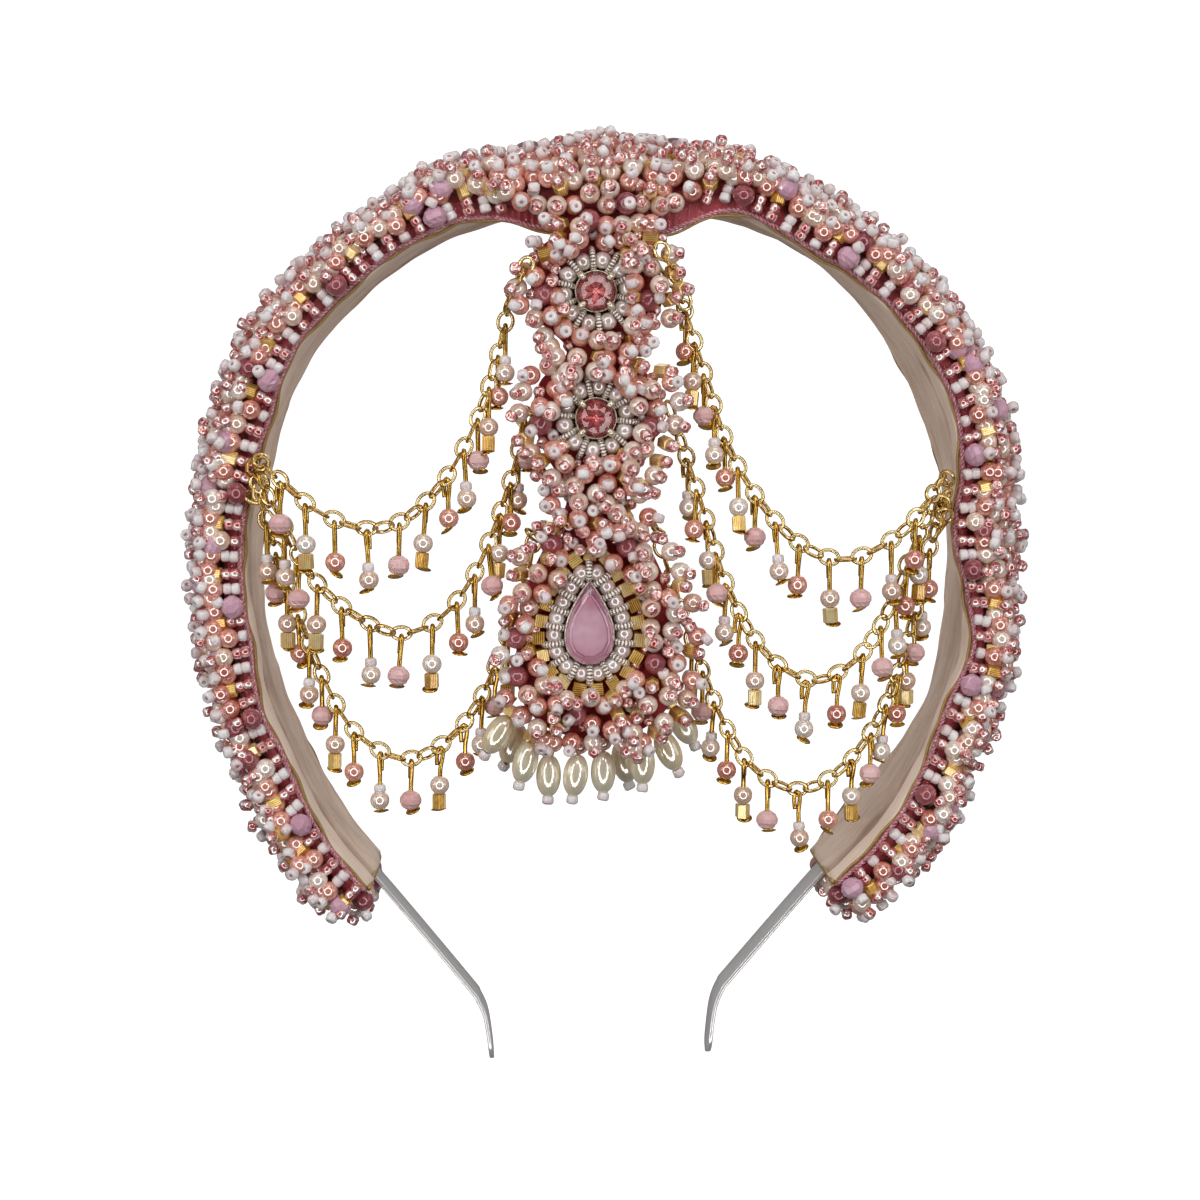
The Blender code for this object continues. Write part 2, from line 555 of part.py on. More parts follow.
def build_chain(name, mat, coll, guides):
    points, length = chain_points(name)
    tube = wire_mesh(name, points, CHAIN_R, 2)
    chain = place(name, tube, mat, coll)

    first_at, kind, last_at, lean_side = DROPS[name]
    fine = smooth_through(CHAINS[name], 400)[0]
    run = np.concatenate([[0], np.cumsum(np.linalg.norm(np.diff(fine, axis=0), axis=1))])
    bm = bmesh.new()
    s, count = first_at, 0
    while s <= last_at:
        x, y, z = (float(np.interp(s, run, fine[:, k])) for k in range(3))
        profile = DROP_KINDS[kind % 4][1]
        start = len(bm.verts)
        verts = [bm.verts.new(Vector((r, 0, -d)) * MM) for r, d in [(0.0, profile[0][1])] + profile + [(0.0, profile[-1][1])]]
        edges = [bm.edges.new((a, b)) for a, b in zip(verts, verts[1:])]
        bmesh.ops.spin(bm, geom=verts + edges, cent=(0, 0, 0), axis=(0, 0, 1), angle=2 * math.pi, steps=6, use_merge=True)
        bm.verts.ensure_lookup_table()
        new = bm.verts[start:]
        ahead, behind = (float(np.interp(s + d, run, fine[:, 2])) for d in (1.0, -1.0))
        steep = abs(ahead - behind) / 2.0 > STEEP
        angle = math.radians(LEAN_ANGLE) * lean_side if steep and count % 2 else 0.0
        bmesh.ops.transform(bm, verts=new, matrix=Matrix.Translation(Vector((x, y, z)) * MM) @ Matrix.Rotation(angle, 4, "X"))
        s += DROP_PITCH
        kind += 1
        count += 1
    bmesh.ops.remove_doubles(bm, verts=bm.verts, dist=0.00001)
    bmesh.ops.recalc_face_normals(bm, faces=bm.faces)
    mesh = bpy.data.meshes.new(name + "_drops")
    bm.to_mesh(mesh)
    bm.free()
    drops = guide(place(name + "_drops", mesh, None, guides), guides)
    boolean(chain, drops, "UNION", joined=True)
    return chain


# ---- build --------------------------------------------------------------------------------------------


def main():
    clear_scene()
    parts = collection(NAME)
    guides = collection(NAME + "_guides")
    mats = {
        "steel": material("satin_steel", (0.62, 0.61, 0.59), 0.32, 1.0),
        "lining": material("beige_suede", (0.58, 0.48, 0.40), 0.9),
        "pad": material("rose_fabric", (0.50, 0.15, 0.20), 0.8),
        "felt": material("rose_felt", (0.48, 0.15, 0.20), 0.95),
        "crust": material("mixed_beads", (0.82, 0.58, 0.55), 0.35),
        "ring_pearl": material("grey_pearl", (0.72, 0.64, 0.60), 0.25),
        "ivory": material("ivory_pearl", (0.88, 0.85, 0.72), 0.2),
        "rose_glass": material("rose_glass", (0.80, 0.30, 0.36), 0.05),
        "pink_glass": material("pink_glass", (0.86, 0.55, 0.68), 0.05),
        "setting": material("brass_setting", (0.72, 0.64, 0.48), 0.3, 1.0),
        "gold": material("gold_metal", (0.80, 0.60, 0.25), 0.3, 1.0),
    }
    build_strip(mats["steel"], parts)
    build_lining(mats["lining"], parts)
    build_pad(mats["pad"], parts)
    build_crust(mats["crust"], parts, guides)
    build_cabochons(mats["rose_glass"], parts)
    build_pendant(mats, parts, guides)
    build_ovals(mats["ivory"], parts)
    for name in CHAINS:
        build_chain(name, mats["gold"], parts, guides)


main()
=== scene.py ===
"""Looks of the maang tikka headband: real beads, chain links, stones, suede and fabric around the frame."""

import math

import bmesh
import bpy
import numpy as np
from mathutils import Matrix, Vector


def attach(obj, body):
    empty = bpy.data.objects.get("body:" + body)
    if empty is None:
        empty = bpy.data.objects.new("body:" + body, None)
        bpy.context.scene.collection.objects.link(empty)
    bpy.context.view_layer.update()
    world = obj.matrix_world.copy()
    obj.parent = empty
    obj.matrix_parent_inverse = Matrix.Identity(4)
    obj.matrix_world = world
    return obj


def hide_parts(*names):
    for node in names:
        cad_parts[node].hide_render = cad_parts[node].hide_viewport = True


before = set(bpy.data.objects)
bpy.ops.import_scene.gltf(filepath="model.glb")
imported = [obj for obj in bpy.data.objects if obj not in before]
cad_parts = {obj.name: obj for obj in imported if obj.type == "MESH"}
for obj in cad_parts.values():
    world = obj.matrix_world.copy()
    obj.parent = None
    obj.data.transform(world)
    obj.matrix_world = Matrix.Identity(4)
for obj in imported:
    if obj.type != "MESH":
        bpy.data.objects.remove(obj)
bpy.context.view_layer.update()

MM = 0.001
RNG = np.random.default_rng(11)
TAU = 2 * math.pi

# ---- sizes and tables of the arch (mm), as in the construction -----------------------------------------
CENTRE_Z = -62.0
END_ANGLE = 143.0
FRONT_Y, BACK_Y = -14.0, 15.0
FLAT_Y = 4.2
LINING_T = 1.2
ARCH_COLUMNS = ("angle", "front_left", "front_right", "mid_left", "mid_right", "back_left", "back_right")
ARCH = [
    (0, 58.7, 58.7, 62.0, 62.0, 63.9, 63.9),
    (10, 59.6, 59.6, 62.4, 62.9, 64.0, 65.0),
    (18, 62.2, 64.3, 63.0, 64.4, 64.1, 66.6),
    (30, 63.1, 63.8, 63.4, 65.9, 64.1, 67.8),
    (42, 62.9, 65.0, 63.3, 66.4, 63.6, 67.9),
    (54, 63.0, 65.8, 63.0, 66.2, 63.6, 66.7),
    (66, 60.8, 65.3, 62.0, 65.7, 62.4, 65.8),
    (75, 60.4, 62.8, 61.3, 65.2, 61.2, 65.9),
    (84, 60.4, 59.8, 60.9, 64.6, 61.1, 65.9),
    (93, 60.3, 61.8, 60.8, 64.4, 61.3, 65.9),
    (102, 60.2, 64.5, 61.0, 65.0, 61.8, 66.3),
    (111, 61.9, 63.3, 61.6, 65.4, 62.0, 67.9),
    (120, 62.1, 64.5, 62.4, 65.6, 62.7, 67.4),
    (130, 64.5, 66.2, 64.2, 66.1, 64.6, 66.0),
    (138, 66.4, 67.1, 65.6, 66.6, 66.5, 66.9),
    (143, 67.5, 67.4, 66.5, 66.9, 68.0, 68.6),
]
CROWN_COLUMNS = ("angle", "left", "right")
CROWN = [
    (0, 12.2, 12.2),
    (10, 11.2, 11.6),
    (20, 10.8, 10.4),
    (30, 9.7, 9.6),
    (60, 9.9, 9.8),
    (90, 9.4, 9.4),
    (120, 9.8, 9.7),
    (132, 10.4, 10.4),
    (143, 9.4, 9.2),
]
# Section of the padding: distance along Y, and share of the way from the hem to the crown of the pad.
PAD_COLUMNS = ("y", "share")
PAD_SECTION = [
    (-13.9, -0.10),
    (-14.5, 0.08),
    (-14.8, 0.32),
    (-14.5, 0.58),
    (-13.2, 0.79),
    (-10.6, 0.92),
    (-6.0, 0.99),
    (0.5, 1.0),
    (7.0, 0.99),
    (11.6, 0.92),
    (14.2, 0.79),
    (15.5, 0.58),
    (15.8, 0.32),
    (15.5, 0.08),
    (14.9, -0.10),
]
HEM_H = 1.4  # height of the fabric's hem over the lining's inner face
STACK_H = 5.0  # height of a usual bead stack

# Pendant (mm)
FELT_FRONT_Y, FELT_T = -16.0, 1.4
PENDANT_X = -1.0
RING_R, PEARL_R, STONE_R = 5.3, 1.5, 3.28
PEAR_A, PEAR_B, PEAR_X, PEAR_Z = 5.4, 7.1, -2.4, -70.3
FELT_COLUMNS = ("z", "half_width")
FELT = [
    (-2.0, 8.6),
    (-3.2, 6.9),
    (-4.6, 6.6),
    (-6.0, 8.0),
    (-8.0, 10.6),
    (-14.3, 12.3),
    (-19.5, 11.0),
    (-24.6, 6.2),
    (-29.8, 10.8),
    (-35.5, 12.0),
    (-41.5, 10.2),
    (-49.0, 6.3),
    (-55.5, 9.0),
    (-62.5, 12.4),
    (-70.0, 14.4),
    (-78.0, 15.0),
    (-84.5, 13.8),
    (-88.6, 9.8),
    (-90.6, 4.8),
]
ROUND_STONES = [("upper", -1.3, -14.9), ("middle", -1.3, -35.9)]
OVALS_R, OVALS_H, TIP_R = 2.15, 3.7, 1.0
OVAL_COLUMNS = ("x", "y", "z", "tilt")
OVALS = [
    (-18.0, -16.4, -89.6, 32),
    (-15.4, -10.4, -92.2, 22),
    (-13.3, -15.6, -94.6, 15),
    (-9.3, -14.4, -97.2, 2),
    (-4.7, -15.8, -96.9, 8),
    (0.1, -14.6, -96.6, 0),
    (3.9, -11.6, -95.4, -12),
    (6.8, -16.0, -94.9, 0),
    (11.3, -14.8, -92.9, -25),
    (14.2, -10.8, -89.2, -30),
]
# Mauve round beads on the pendant: across and up (mm).
MAUVE_COLUMNS = ("x", "z")
MAUVES = [(-9.9, -15.4), (7.4, -16.3), (-10.4, -36.8), (7.9, -37.4), (-2.4, -3.2), (8.8, -77.4), (-14.6, -79.4), (-4.8, -86.2), (-8.8, -57.0), (3.9, -57.6), (-14.8, -72.9)]
CORNER_COLUMNS = ("x", "z", "slope", "beads")  # from the inner end of each strand
CORNERS = [(-8.3, -8.4, 196.0, ("gold", "crystal")), (4.9, -5.7, -4.0, ("crystal", "gold", "crystal"))]
# Cabochons on top of the band: angle from the top, depth, radius, floor height.
CABOCHON_COLUMNS = ("name", "angle", "y", "radius", "floor")
CABOCHONS = [("top_cabochon_left", -9.6, 1.5, 3.2, 7.6), ("top_cabochon_right", 10.6, 1.5, 3.2, 7.9)]
CABOCHON_H = 3.9

# Chains (mm)
CHAIN_COLUMNS = ("x", "y", "z")
CHAINS = {
    "chain_left_1": [(-57.6, -16.2, -43.2), (-53.6, -20.2, -46.2), (-47.5, -20.5, -51.3), (-40.0, -19.6, -54.1), (-33.5, -18.4, -52.8), (-27.5, -17.4, -47.2), (-22.6, -16.4, -39.2), (-18.5, -15.2, -28.5), (-15.7, -13.6, -17.2), (-13.8, -13.0, -11.6)],
    "chain_left_2": [(-57.8, -16.0, -46.2), (-54.4, -17.2, -52.0), (-49.7, -17.2, -61.5), (-43.0, -17.0, -68.3), (-34.5, -16.8, -72.1), (-27.2, -16.4, -69.2), (-21.6, -15.8, -61.8), (-17.5, -15.0, -52.0), (-14.6, -13.4, -43.0), (-13.2, -13.0, -35.4)],
    "chain_left_3": [(-57.7, -15.6, -49.2), (-55.2, -13.9, -59.0), (-51.3, -13.8, -70.5), (-47.5, -13.9, -80.5), (-42.2, -14.0, -89.6), (-34.0, -14.0, -94.1), (-26.6, -13.4, -91.0), (-21.2, -12.2, -84.4), (-17.0, -11.6, -75.0), (-13.2, -12.0, -64.5), (-11.6, -13.0, -56.5)],
    "chain_right_1": [(57.6, -16.2, -46.4), (53.6, -19.8, -51.4), (48.5, -20.3, -56.3), (41.0, -19.6, -59.6), (33.6, -18.6, -57.3), (27.0, -17.6, -50.6), (21.4, -16.6, -41.2), (17.3, -15.4, -29.0), (13.9, -13.8, -17.5), (11.6, -13.0, -11.2)],
    "chain_right_2": [(57.4, -16.0, -49.6), (53.4, -17.0, -56.6), (48.9, -17.2, -68.1), (43.5, -17.1, -76.8), (35.8, -16.9, -80.5), (27.6, -16.6, -75.6), (21.5, -16.0, -65.2), (17.6, -15.2, -53.0), (14.0, -13.6, -41.5), (11.6, -13.0, -34.6)],
    "chain_right_3": [(57.3, -15.6, -52.8), (55.8, -13.8, -60.5), (53.0, -13.8, -73.0), (48.5, -13.9, -86.6), (41.6, -14.0, -96.4), (34.0, -14.0, -100.0), (26.2, -13.8, -96.2), (20.6, -13.2, -87.4), (15.9, -12.2, -75.0), (12.2, -12.2, -64.5), (9.4, -13.0, -55.6)],
}
DROP_COLUMNS = ("first_at", "first_kind", "last_at", "lean")
DROPS = {
    "chain_left_1": (6.2, 0, 71.0, -1),
    "chain_left_2": (8.8, 3, 82.0, -1),
    "chain_left_3": (4.0, 3, 84.0, 1),
    "chain_right_1": (9.0, 2, 80.0, -1),
    "chain_right_2": (7.0, 1, 86.0, -1),
    "chain_right_3": (5.6, 2, 92.0, 1),
}
DROP_PITCH = 5.6
LEAN_ANGLE = 10.0
STEEP = 0.75
LINK_A, LINK_B, LINK_WIRE = 1.66, 1.24, 0.33

# ---- maths ---------------------------------------------------------------------------------------------


def column(rows, columns, name, x):
    """A column of a table at any place, smooth between its rows."""
    xs = np.array([r[0] for r in rows], float)
    ys = np.array([r[columns.index(name)] for r in rows], float)
    slopes = np.gradient(ys, xs)
    x = np.asarray(x, float)
    i = np.clip(np.searchsorted(xs, x) - 1, 0, len(xs) - 2)
    h = xs[i + 1] - xs[i]
    t = (x - xs[i]) / h
    return (2 * t**3 - 3 * t**2 + 1) * ys[i] + (t**3 - 2 * t**2 + t) * h * slopes[i] + (-2 * t**3 + 3 * t**2) * ys[i + 1] + (t**3 - t**2) * h * slopes[i + 1]


def sided(rows, columns, stem, angle):
    a = np.abs(angle)
    return np.where(np.asarray(angle) < 0, column(rows, columns, stem + "left", a), column(rows, columns, stem + "right", a))


def arch_radius(angle, y):
    front = sided(ARCH, ARCH_COLUMNS, "front_", angle)
    mid = sided(ARCH, ARCH_COLUMNS, "mid_", angle)
    back = sided(ARCH, ARCH_COLUMNS, "back_", angle)
    y = np.clip(y, FRONT_Y, BACK_Y)
    f = np.clip((-FLAT_Y - y) / (-FLAT_Y - FRONT_Y), 0, 1) ** 1.4
    b = np.clip((y - FLAT_Y) / (BACK_Y - FLAT_Y), 0, 1) ** 1.4
    return mid + (front - mid) * f + (back - mid) * b


def at(angle, y, height):
    """World points (mm) of the arch: signed angle from the top, depth, height over the lining's inner face."""
    r = arch_radius(angle, y) + height
    a = np.radians(angle)
    return np.stack(np.broadcast_arrays(r * np.sin(a), y, CENTRE_Z + r * np.cos(a)), axis=-1)


def smooth_through(rows, count):
    """Points at even distances on a Catmull-Rom curve through the rows, and its length."""
    pts = np.array(rows, dtype=float)
    ext = np.vstack([2 * pts[0] - pts[1], pts, 2 * pts[-1] - pts[-2]])
    fine = []
    for i in range(1, len(ext) - 2):
        a, b, c, d = ext[i - 1], ext[i], ext[i + 1], ext[i + 2]
        for t in np.linspace(0, 1, 24, endpoint=False):
            fine.append(0.5 * (2 * b + (c - a) * t + (2 * a - 5 * b + 4 * c - d) * t**2 + (3 * b - a - 3 * c + d) * t**3))
    fine = np.array(fine + [pts[-1]])
    run = np.concatenate([[0], np.cumsum(np.linalg.norm(np.diff(fine, axis=0), axis=1))])
    where = np.linspace(0, run[-1], count)
    return np.stack([np.interp(where, run, fine[:, k]) for k in range(pts.shape[1])], axis=1), run[-1]


def unit(v):
    v = np.asarray(v, float)
    return v / np.maximum(np.linalg.norm(v, axis=-1, keepdims=True), 1e-12)


def frames(pos, axis, spin=None, scale=1.0):
    """4x4 matrices that put local Z on axis at pos, turned by spin about it."""
    pos, z = np.atleast_2d(pos), unit(np.atleast_2d(axis))
    n = len(pos)
    z = np.broadcast_to(z, (n, 3))
    ref = np.where(np.abs(z[:, 2:3]) < 0.9, [[0, 0, 1.0]], [[1.0, 0, 0]])
    x = unit(np.cross(ref, z))
    y = np.cross(z, x)
    s = np.zeros(n) if spin is None else np.broadcast_to(spin, (n,))
    c, q = np.cos(s)[:, None], np.sin(s)[:, None]
    m = np.zeros((n, 4, 4))
    m[:, :3, 0] = x * c + y * q
    m[:, :3, 1] = y * c - x * q
    m[:, :3, 2] = z
    m[:, :3, :3] *= np.reshape(np.broadcast_to(scale, (n,)), (n, 1, 1))
    m[:, :3, 3] = pos
    m[:, 3, 3] = 1
    return m


def tilt(axis, amount, rng=RNG):
    """Axes leaned at random by about amount degrees."""
    axis = unit(np.atleast_2d(axis))
    push = rng.normal(size=axis.shape)
    push -= np.sum(push * axis, axis=1, keepdims=True) * axis
    return unit(axis + push * math.tan(math.radians(amount)) * 0.8)


# ---- templates of small pieces -------------------------------------------------------------------------


def lathe(profile, seg, ring=False, phase=0.0, smooth=True, twist=None):
    """Turned shape: profile rows are (radius, height), outer side from top to bottom; ring closes it on itself.
    Gives vertices, faces, one UV pair for each face corner and whether it is shaded smooth."""
    pts, index = [], []
    for row, (r, z) in enumerate(profile):
        if r < 1e-9:
            index.append([len(pts)])
            pts.append((0, 0, z))
        else:
            index.append(list(range(len(pts), len(pts) + seg)))
            turn = phase + (twist[row] if twist else 0.0)
            pts += [(r * math.cos(TAU * k / seg + turn), r * math.sin(TAU * k / seg + turn), z) for k in range(seg)]
    rows = list(range(len(profile)))
    run = [0.0]
    for (r0, z0), (r1, z1) in zip(profile, profile[1:] + profile[:1]):
        run.append(run[-1] + math.hypot(r1 - r0, z1 - z0))
    pairs = list(zip(rows, rows[1:])) + ([(rows[-1], rows[0])] if ring else [])
    total = run[-1] if ring else run[-2]
    faces, uvs = [], []
    for a, b in pairs:
        v0, v1 = run[a] / total, (run[a + 1]) / total
        for k in range(seg):
            k2 = (k + 1) % seg
            u0, u1 = k / seg, (k + 1) / seg
            p, q = index[a], index[b]
            if len(p) == 1 and len(q) == 1:
                continue
            if len(p) == 1:
                faces.append((p[0], q[k], q[k2]))
                uvs += [(u0, v0), (u0, v1), (u1, v1)]
            elif len(q) == 1:
                faces.append((p[k], q[0], p[k2]))
                uvs += [(u0, v0), (u0, v1), (u1, v0)]
            else:
                faces.append((p[k], q[k], q[k2], p[k2]))
                uvs += [(u0, v0), (u0, v1), (u1, v1), (u1, v0)]
    return np.array(pts, float), faces, np.array(uvs, float), smooth


def pearl_profile(r, rings=9):
    """Ball with a small dimple at each end of its hole."""
    rows = [(0.0, 0.84 * r), (0.22 * r, 0.965 * r)]
    for k in range(1, rings - 1):
        t = math.radians(14) + (math.pi - math.radians(28)) * k / (rings - 1)
        rows.append((r * math.sin(t), r * math.cos(t)))
    rows += [(0.22 * r, -0.965 * r), (0.0, -0.84 * r)]
    return rows


def seed_profile(r, half, hole):
    """Short cylinder with rounded rims, its hole closed by the thread just inside."""
    return [(0.0, half * 0.60), (hole, half * 0.70), (0.70 * r, half), (0.96 * r, 0.62 * half), (0.99 * r, -0.62 * half), (0.70 * r, -half), (0.0, -half * 0.70)]


T_PEARL = lathe(pearl_profile(1.7, 8), 14)
T_PEARL_LOW = lathe(pearl_profile(1.7, 7), 11)
T_PEARL_S = lathe(pearl_profile(1.5, 8), 14)
T_SEED = lathe(seed_profile(1.06, 0.78, 0.30), 9)
T_SEED_LOW = lathe(seed_profile(1.06, 0.78, 0.30)[:1] + seed_profile(1.06, 0.78, 0.30)[2:], 7)
T_CRYSTAL = lathe(seed_profile(1.06, 0.80, 0.34), 9)
T_HEX = lathe([(0.45, 1.28), (1.14, 1.28), (1.28, 1.14), (1.28, -1.14), (1.14, -1.28), (0.45, -1.28)], 6, ring=True, phase=math.pi / 6, smooth=False)
T_CUBE = lathe([(0.42, 1.04), (1.38, 1.04), (1.46, 0.97), (1.46, -0.97), (1.38, -1.04), (0.42, -1.04)], 4, ring=True, phase=math.pi / 4, smooth=False)
T_ROUND = lathe([(0.0, 1.72), (0.75, 1.72), (1.55, 1.18), (1.98, 0.42), (1.98, -0.42), (1.55, -1.18), (0.75, -1.72), (0.0, -1.72)], 9, smooth=False, twist=[0, 0, 0.35, 0, 0, 0.35, 0, 0])
T_MAUVE = lathe([(0.0, 1.66), (0.42, 1.68)] + [(1.94 * math.sin(t), 1.90 * math.cos(t) * 0.94) for t in np.radians([32, 50, 70, 90, 110, 130, 148])] + [(0.42, -1.68), (0.0, -1.66)], 14)
T_RONDELLE = lathe([(0.0, 1.62), (0.72, 1.62), (1.48, 1.12), (1.88, 0.38), (1.88, -0.38), (1.48, -1.12), (0.72, -1.62), (0.0, -1.62)], 10, smooth=False, twist=[0, 0, 0.31, 0, 0, 0.31, 0, 0])


def facing(pos, axis, front, spin=0.0, scale=1.0):
    """A 4x4 matrix with local Z on axis and local X turned towards front."""
    z = unit(axis)
    x = unit(np.asarray(front, float) - np.dot(front, z) * z)
    y = np.cross(z, x)
    m = np.eye(4)
    m[:3, 0] = (x * math.cos(spin) + y * math.sin(spin)) * scale
    m[:3, 1] = (y * math.cos(spin) - x * math.sin(spin)) * scale
    m[:3, 2] = z * scale
    m[:3, 3] = pos
    return m


class Batch:
    """Many copies of templates gathered into one mesh, each copy with its own tone from 0 to 1."""

    def __init__(self, name):
        self.name = name
        self.co, self.faces, self.uv, self.tone, self.smooth = [], [], [], [], []
        self.count = 0

    def add(self, template, mats, tones=None):
        pts, faces, uvs, smooth = template
        mats = np.asarray(mats, float).reshape(-1, 4, 4)
        n = len(mats)
        if n == 0:
            return
        if tones is None:
            tones = RNG.random(n)
        tones = np.broadcast_to(tones, (n,))
        co = np.einsum("nij,vj->nvi", mats[:, :3, :3], pts) + mats[:, None, :3, 3]
        flat = np.concatenate([np.array(f) for f in faces])
        sizes = np.array([len(f) for f in faces])
        for k in range(n):
            self.co.append(co[k])
            self.faces.append((flat + self.count, sizes))
            self.count += len(pts)
            self.uv.append(uvs)
            self.tone.append(np.full(len(pts), tones[k]))
            self.smooth.append(np.full(len(sizes), smooth))

    def build(self, mat):
        co = np.concatenate(self.co) * MM
        loops = np.concatenate([f[0] for f in self.faces])
        sizes = np.concatenate([f[1] for f in self.faces])
        starts = np.concatenate([[0], np.cumsum(sizes)[:-1]])
        mesh = bpy.data.meshes.new(self.name)
        mesh.vertices.add(len(co))
        mesh.vertices.foreach_set("co", co.astype(np.float32).ravel())
        mesh.loops.add(len(loops))
        mesh.loops.foreach_set("vertex_index", loops.astype(np.int32))
        mesh.polygons.add(len(sizes))
        mesh.polygons.foreach_set("loop_start", starts.astype(np.int32))
        mesh.polygons.foreach_set("loop_total", sizes.astype(np.int32))
        mesh.polygons.foreach_set("use_smooth", np.concatenate(self.smooth).astype(bool))
        layer = mesh.uv_layers.new(name="UVMap")
        layer.data.foreach_set("uv", np.concatenate(self.uv).astype(np.float32).ravel())
        tone = mesh.attributes.new("tone", "FLOAT", "POINT")
        tone.data.foreach_set("value", np.concatenate(self.tone).astype(np.float32))
        mesh.update(calc_edges=True)
        mesh.validate()
        obj = bpy.data.objects.new(self.name, mesh)
        bpy.context.scene.collection.objects.link(obj)
        mesh.materials.append(mat)
        return obj


def tube(path, radius, sides, closed=False, caps=True, turn=0.0, v_scale=1.0):
    """Round tube along points as a template: radius may be a number for each point."""
    p = np.asarray(path, float)
    n = len(p)
    rad = np.broadcast_to(radius, (n,))
    if closed:
        d = np.roll(p, -1, axis=0) - np.roll(p, 1, axis=0)
    else:
        d = np.gradient(p, axis=0)
    d = unit(d)
    side = np.cross(d[0], [0, 0, 1.0] if abs(d[0][2]) < 0.9 else [1.0, 0, 0])
    side = unit(side)
    sides_v = [side]
    for k in range(1, n):
        s = sides_v[-1] - np.dot(sides_v[-1], d[k]) * d[k]
        sides_v.append(unit(s))
    s0 = np.array(sides_v)
    if closed:  # spread the leftover twist along the loop
        last = s0[-1] - np.dot(s0[-1], d[0]) * d[0]
        last = unit(last)
        ang = math.atan2(np.dot(np.cross(last, s0[0]), d[0]), np.dot(last, s0[0]))
        add = ang * np.arange(n) / n
        s1 = np.cross(d, s0)
        s0 = s0 * np.cos(add)[:, None] + s1 * np.sin(add)[:, None]
    s1 = np.cross(d, s0)
    ang = TAU * np.arange(sides) / sides + turn
    pts = p[:, None] + rad[:, None, None] * (s0[:, None] * np.cos(ang)[None, :, None] + s1[:, None] * np.sin(ang)[None, :, None])
    pts = pts.reshape(-1, 3)
    run = np.concatenate([[0], np.cumsum(np.linalg.norm(np.diff(p, axis=0), axis=1))])
    faces, uvs = [], []
    rows = n if closed else n - 1
    for a in range(rows):
        b = (a + 1) % n
        v0 = run[a] * v_scale
        v1 = (run[b] if b else run[-1] + np.linalg.norm(p[0] - p[-1])) * v_scale
        for k in range(sides):
            k2 = (k + 1) % sides
            faces.append((a * sides + k, a * sides + k2, b * sides + k2, b * sides + k))
            uvs += [(k / sides, v0), ((k + 1) / sides, v0), ((k + 1) / sides, v1), (k / sides, v1)]
    if caps and not closed:
        faces.append(tuple(reversed(range(sides))))
        uvs += [(0.5, 0)] * sides
        faces.append(tuple((n - 1) * sides + k for k in range(sides)))
        uvs += [(0.5, run[-1] * v_scale)] * sides
    return pts, faces, np.array(uvs, float), True


def grid_solid(name, top, under, mat, uv_scale=1.0):
    """Closed solid between two grids of points (stations x rows x 3), mm. UVs run along the stations and rows, in cm."""
    top, under = np.asarray(top), np.asarray(under)
    n, m = top.shape[:2]
    ring = np.concatenate([top, under[:, ::-1]], axis=1)
    w = ring.shape[1]
    bm = bmesh.new()
    verts = [[bm.verts.new(ring[i, j] * MM) for j in range(w)] for i in range(n)]
    layer = bm.loops.layers.uv.new("UVMap")
    along = np.concatenate([[0], np.cumsum(np.linalg.norm(np.diff(top[:, m // 2], axis=0), axis=1))])
    across = np.concatenate([[0], np.cumsum(np.linalg.norm(np.diff(ring[n // 2], axis=0), axis=1))])
    closing = np.linalg.norm(ring[n // 2, 0] - ring[n // 2, -1])
    for i in range(n - 1):
        for j in range(w):
            j2 = (j + 1) % w
            face = bm.faces.new((verts[i][j], verts[i][j2], verts[i + 1][j2], verts[i + 1][j]))
            face.smooth = True
            v0, v1 = across[j], across[j2] if j2 else across[-1] + closing
            for loop, uv in zip(face.loops, ((along[i], v0), (along[i], v1), (along[i + 1], v1), (along[i + 1], v0))):
                loop[layer].uv = (uv[0] * uv_scale * 0.1, uv[1] * uv_scale * 0.1)
    for i in (0, n - 1):
        half = m
        for j in range(half - 1):  # close each end with a strip of quads between top and under
            quad = (verts[i][j], verts[i][j + 1], verts[i][w - 2 - j], verts[i][w - 1 - j])
            face = bm.faces.new(quad)
            face.smooth = True
    bmesh.ops.recalc_face_normals(bm, faces=bm.faces)
    mesh = bpy.data.meshes.new(name)
    bm.to_mesh(mesh)
    bm.free()
    obj = bpy.data.objects.new(name, mesh)
    bpy.context.scene.collection.objects.link(obj)
    mesh.materials.append(mat)
    return obj


# ---- materials -----------------------------------------------------------------------------------------


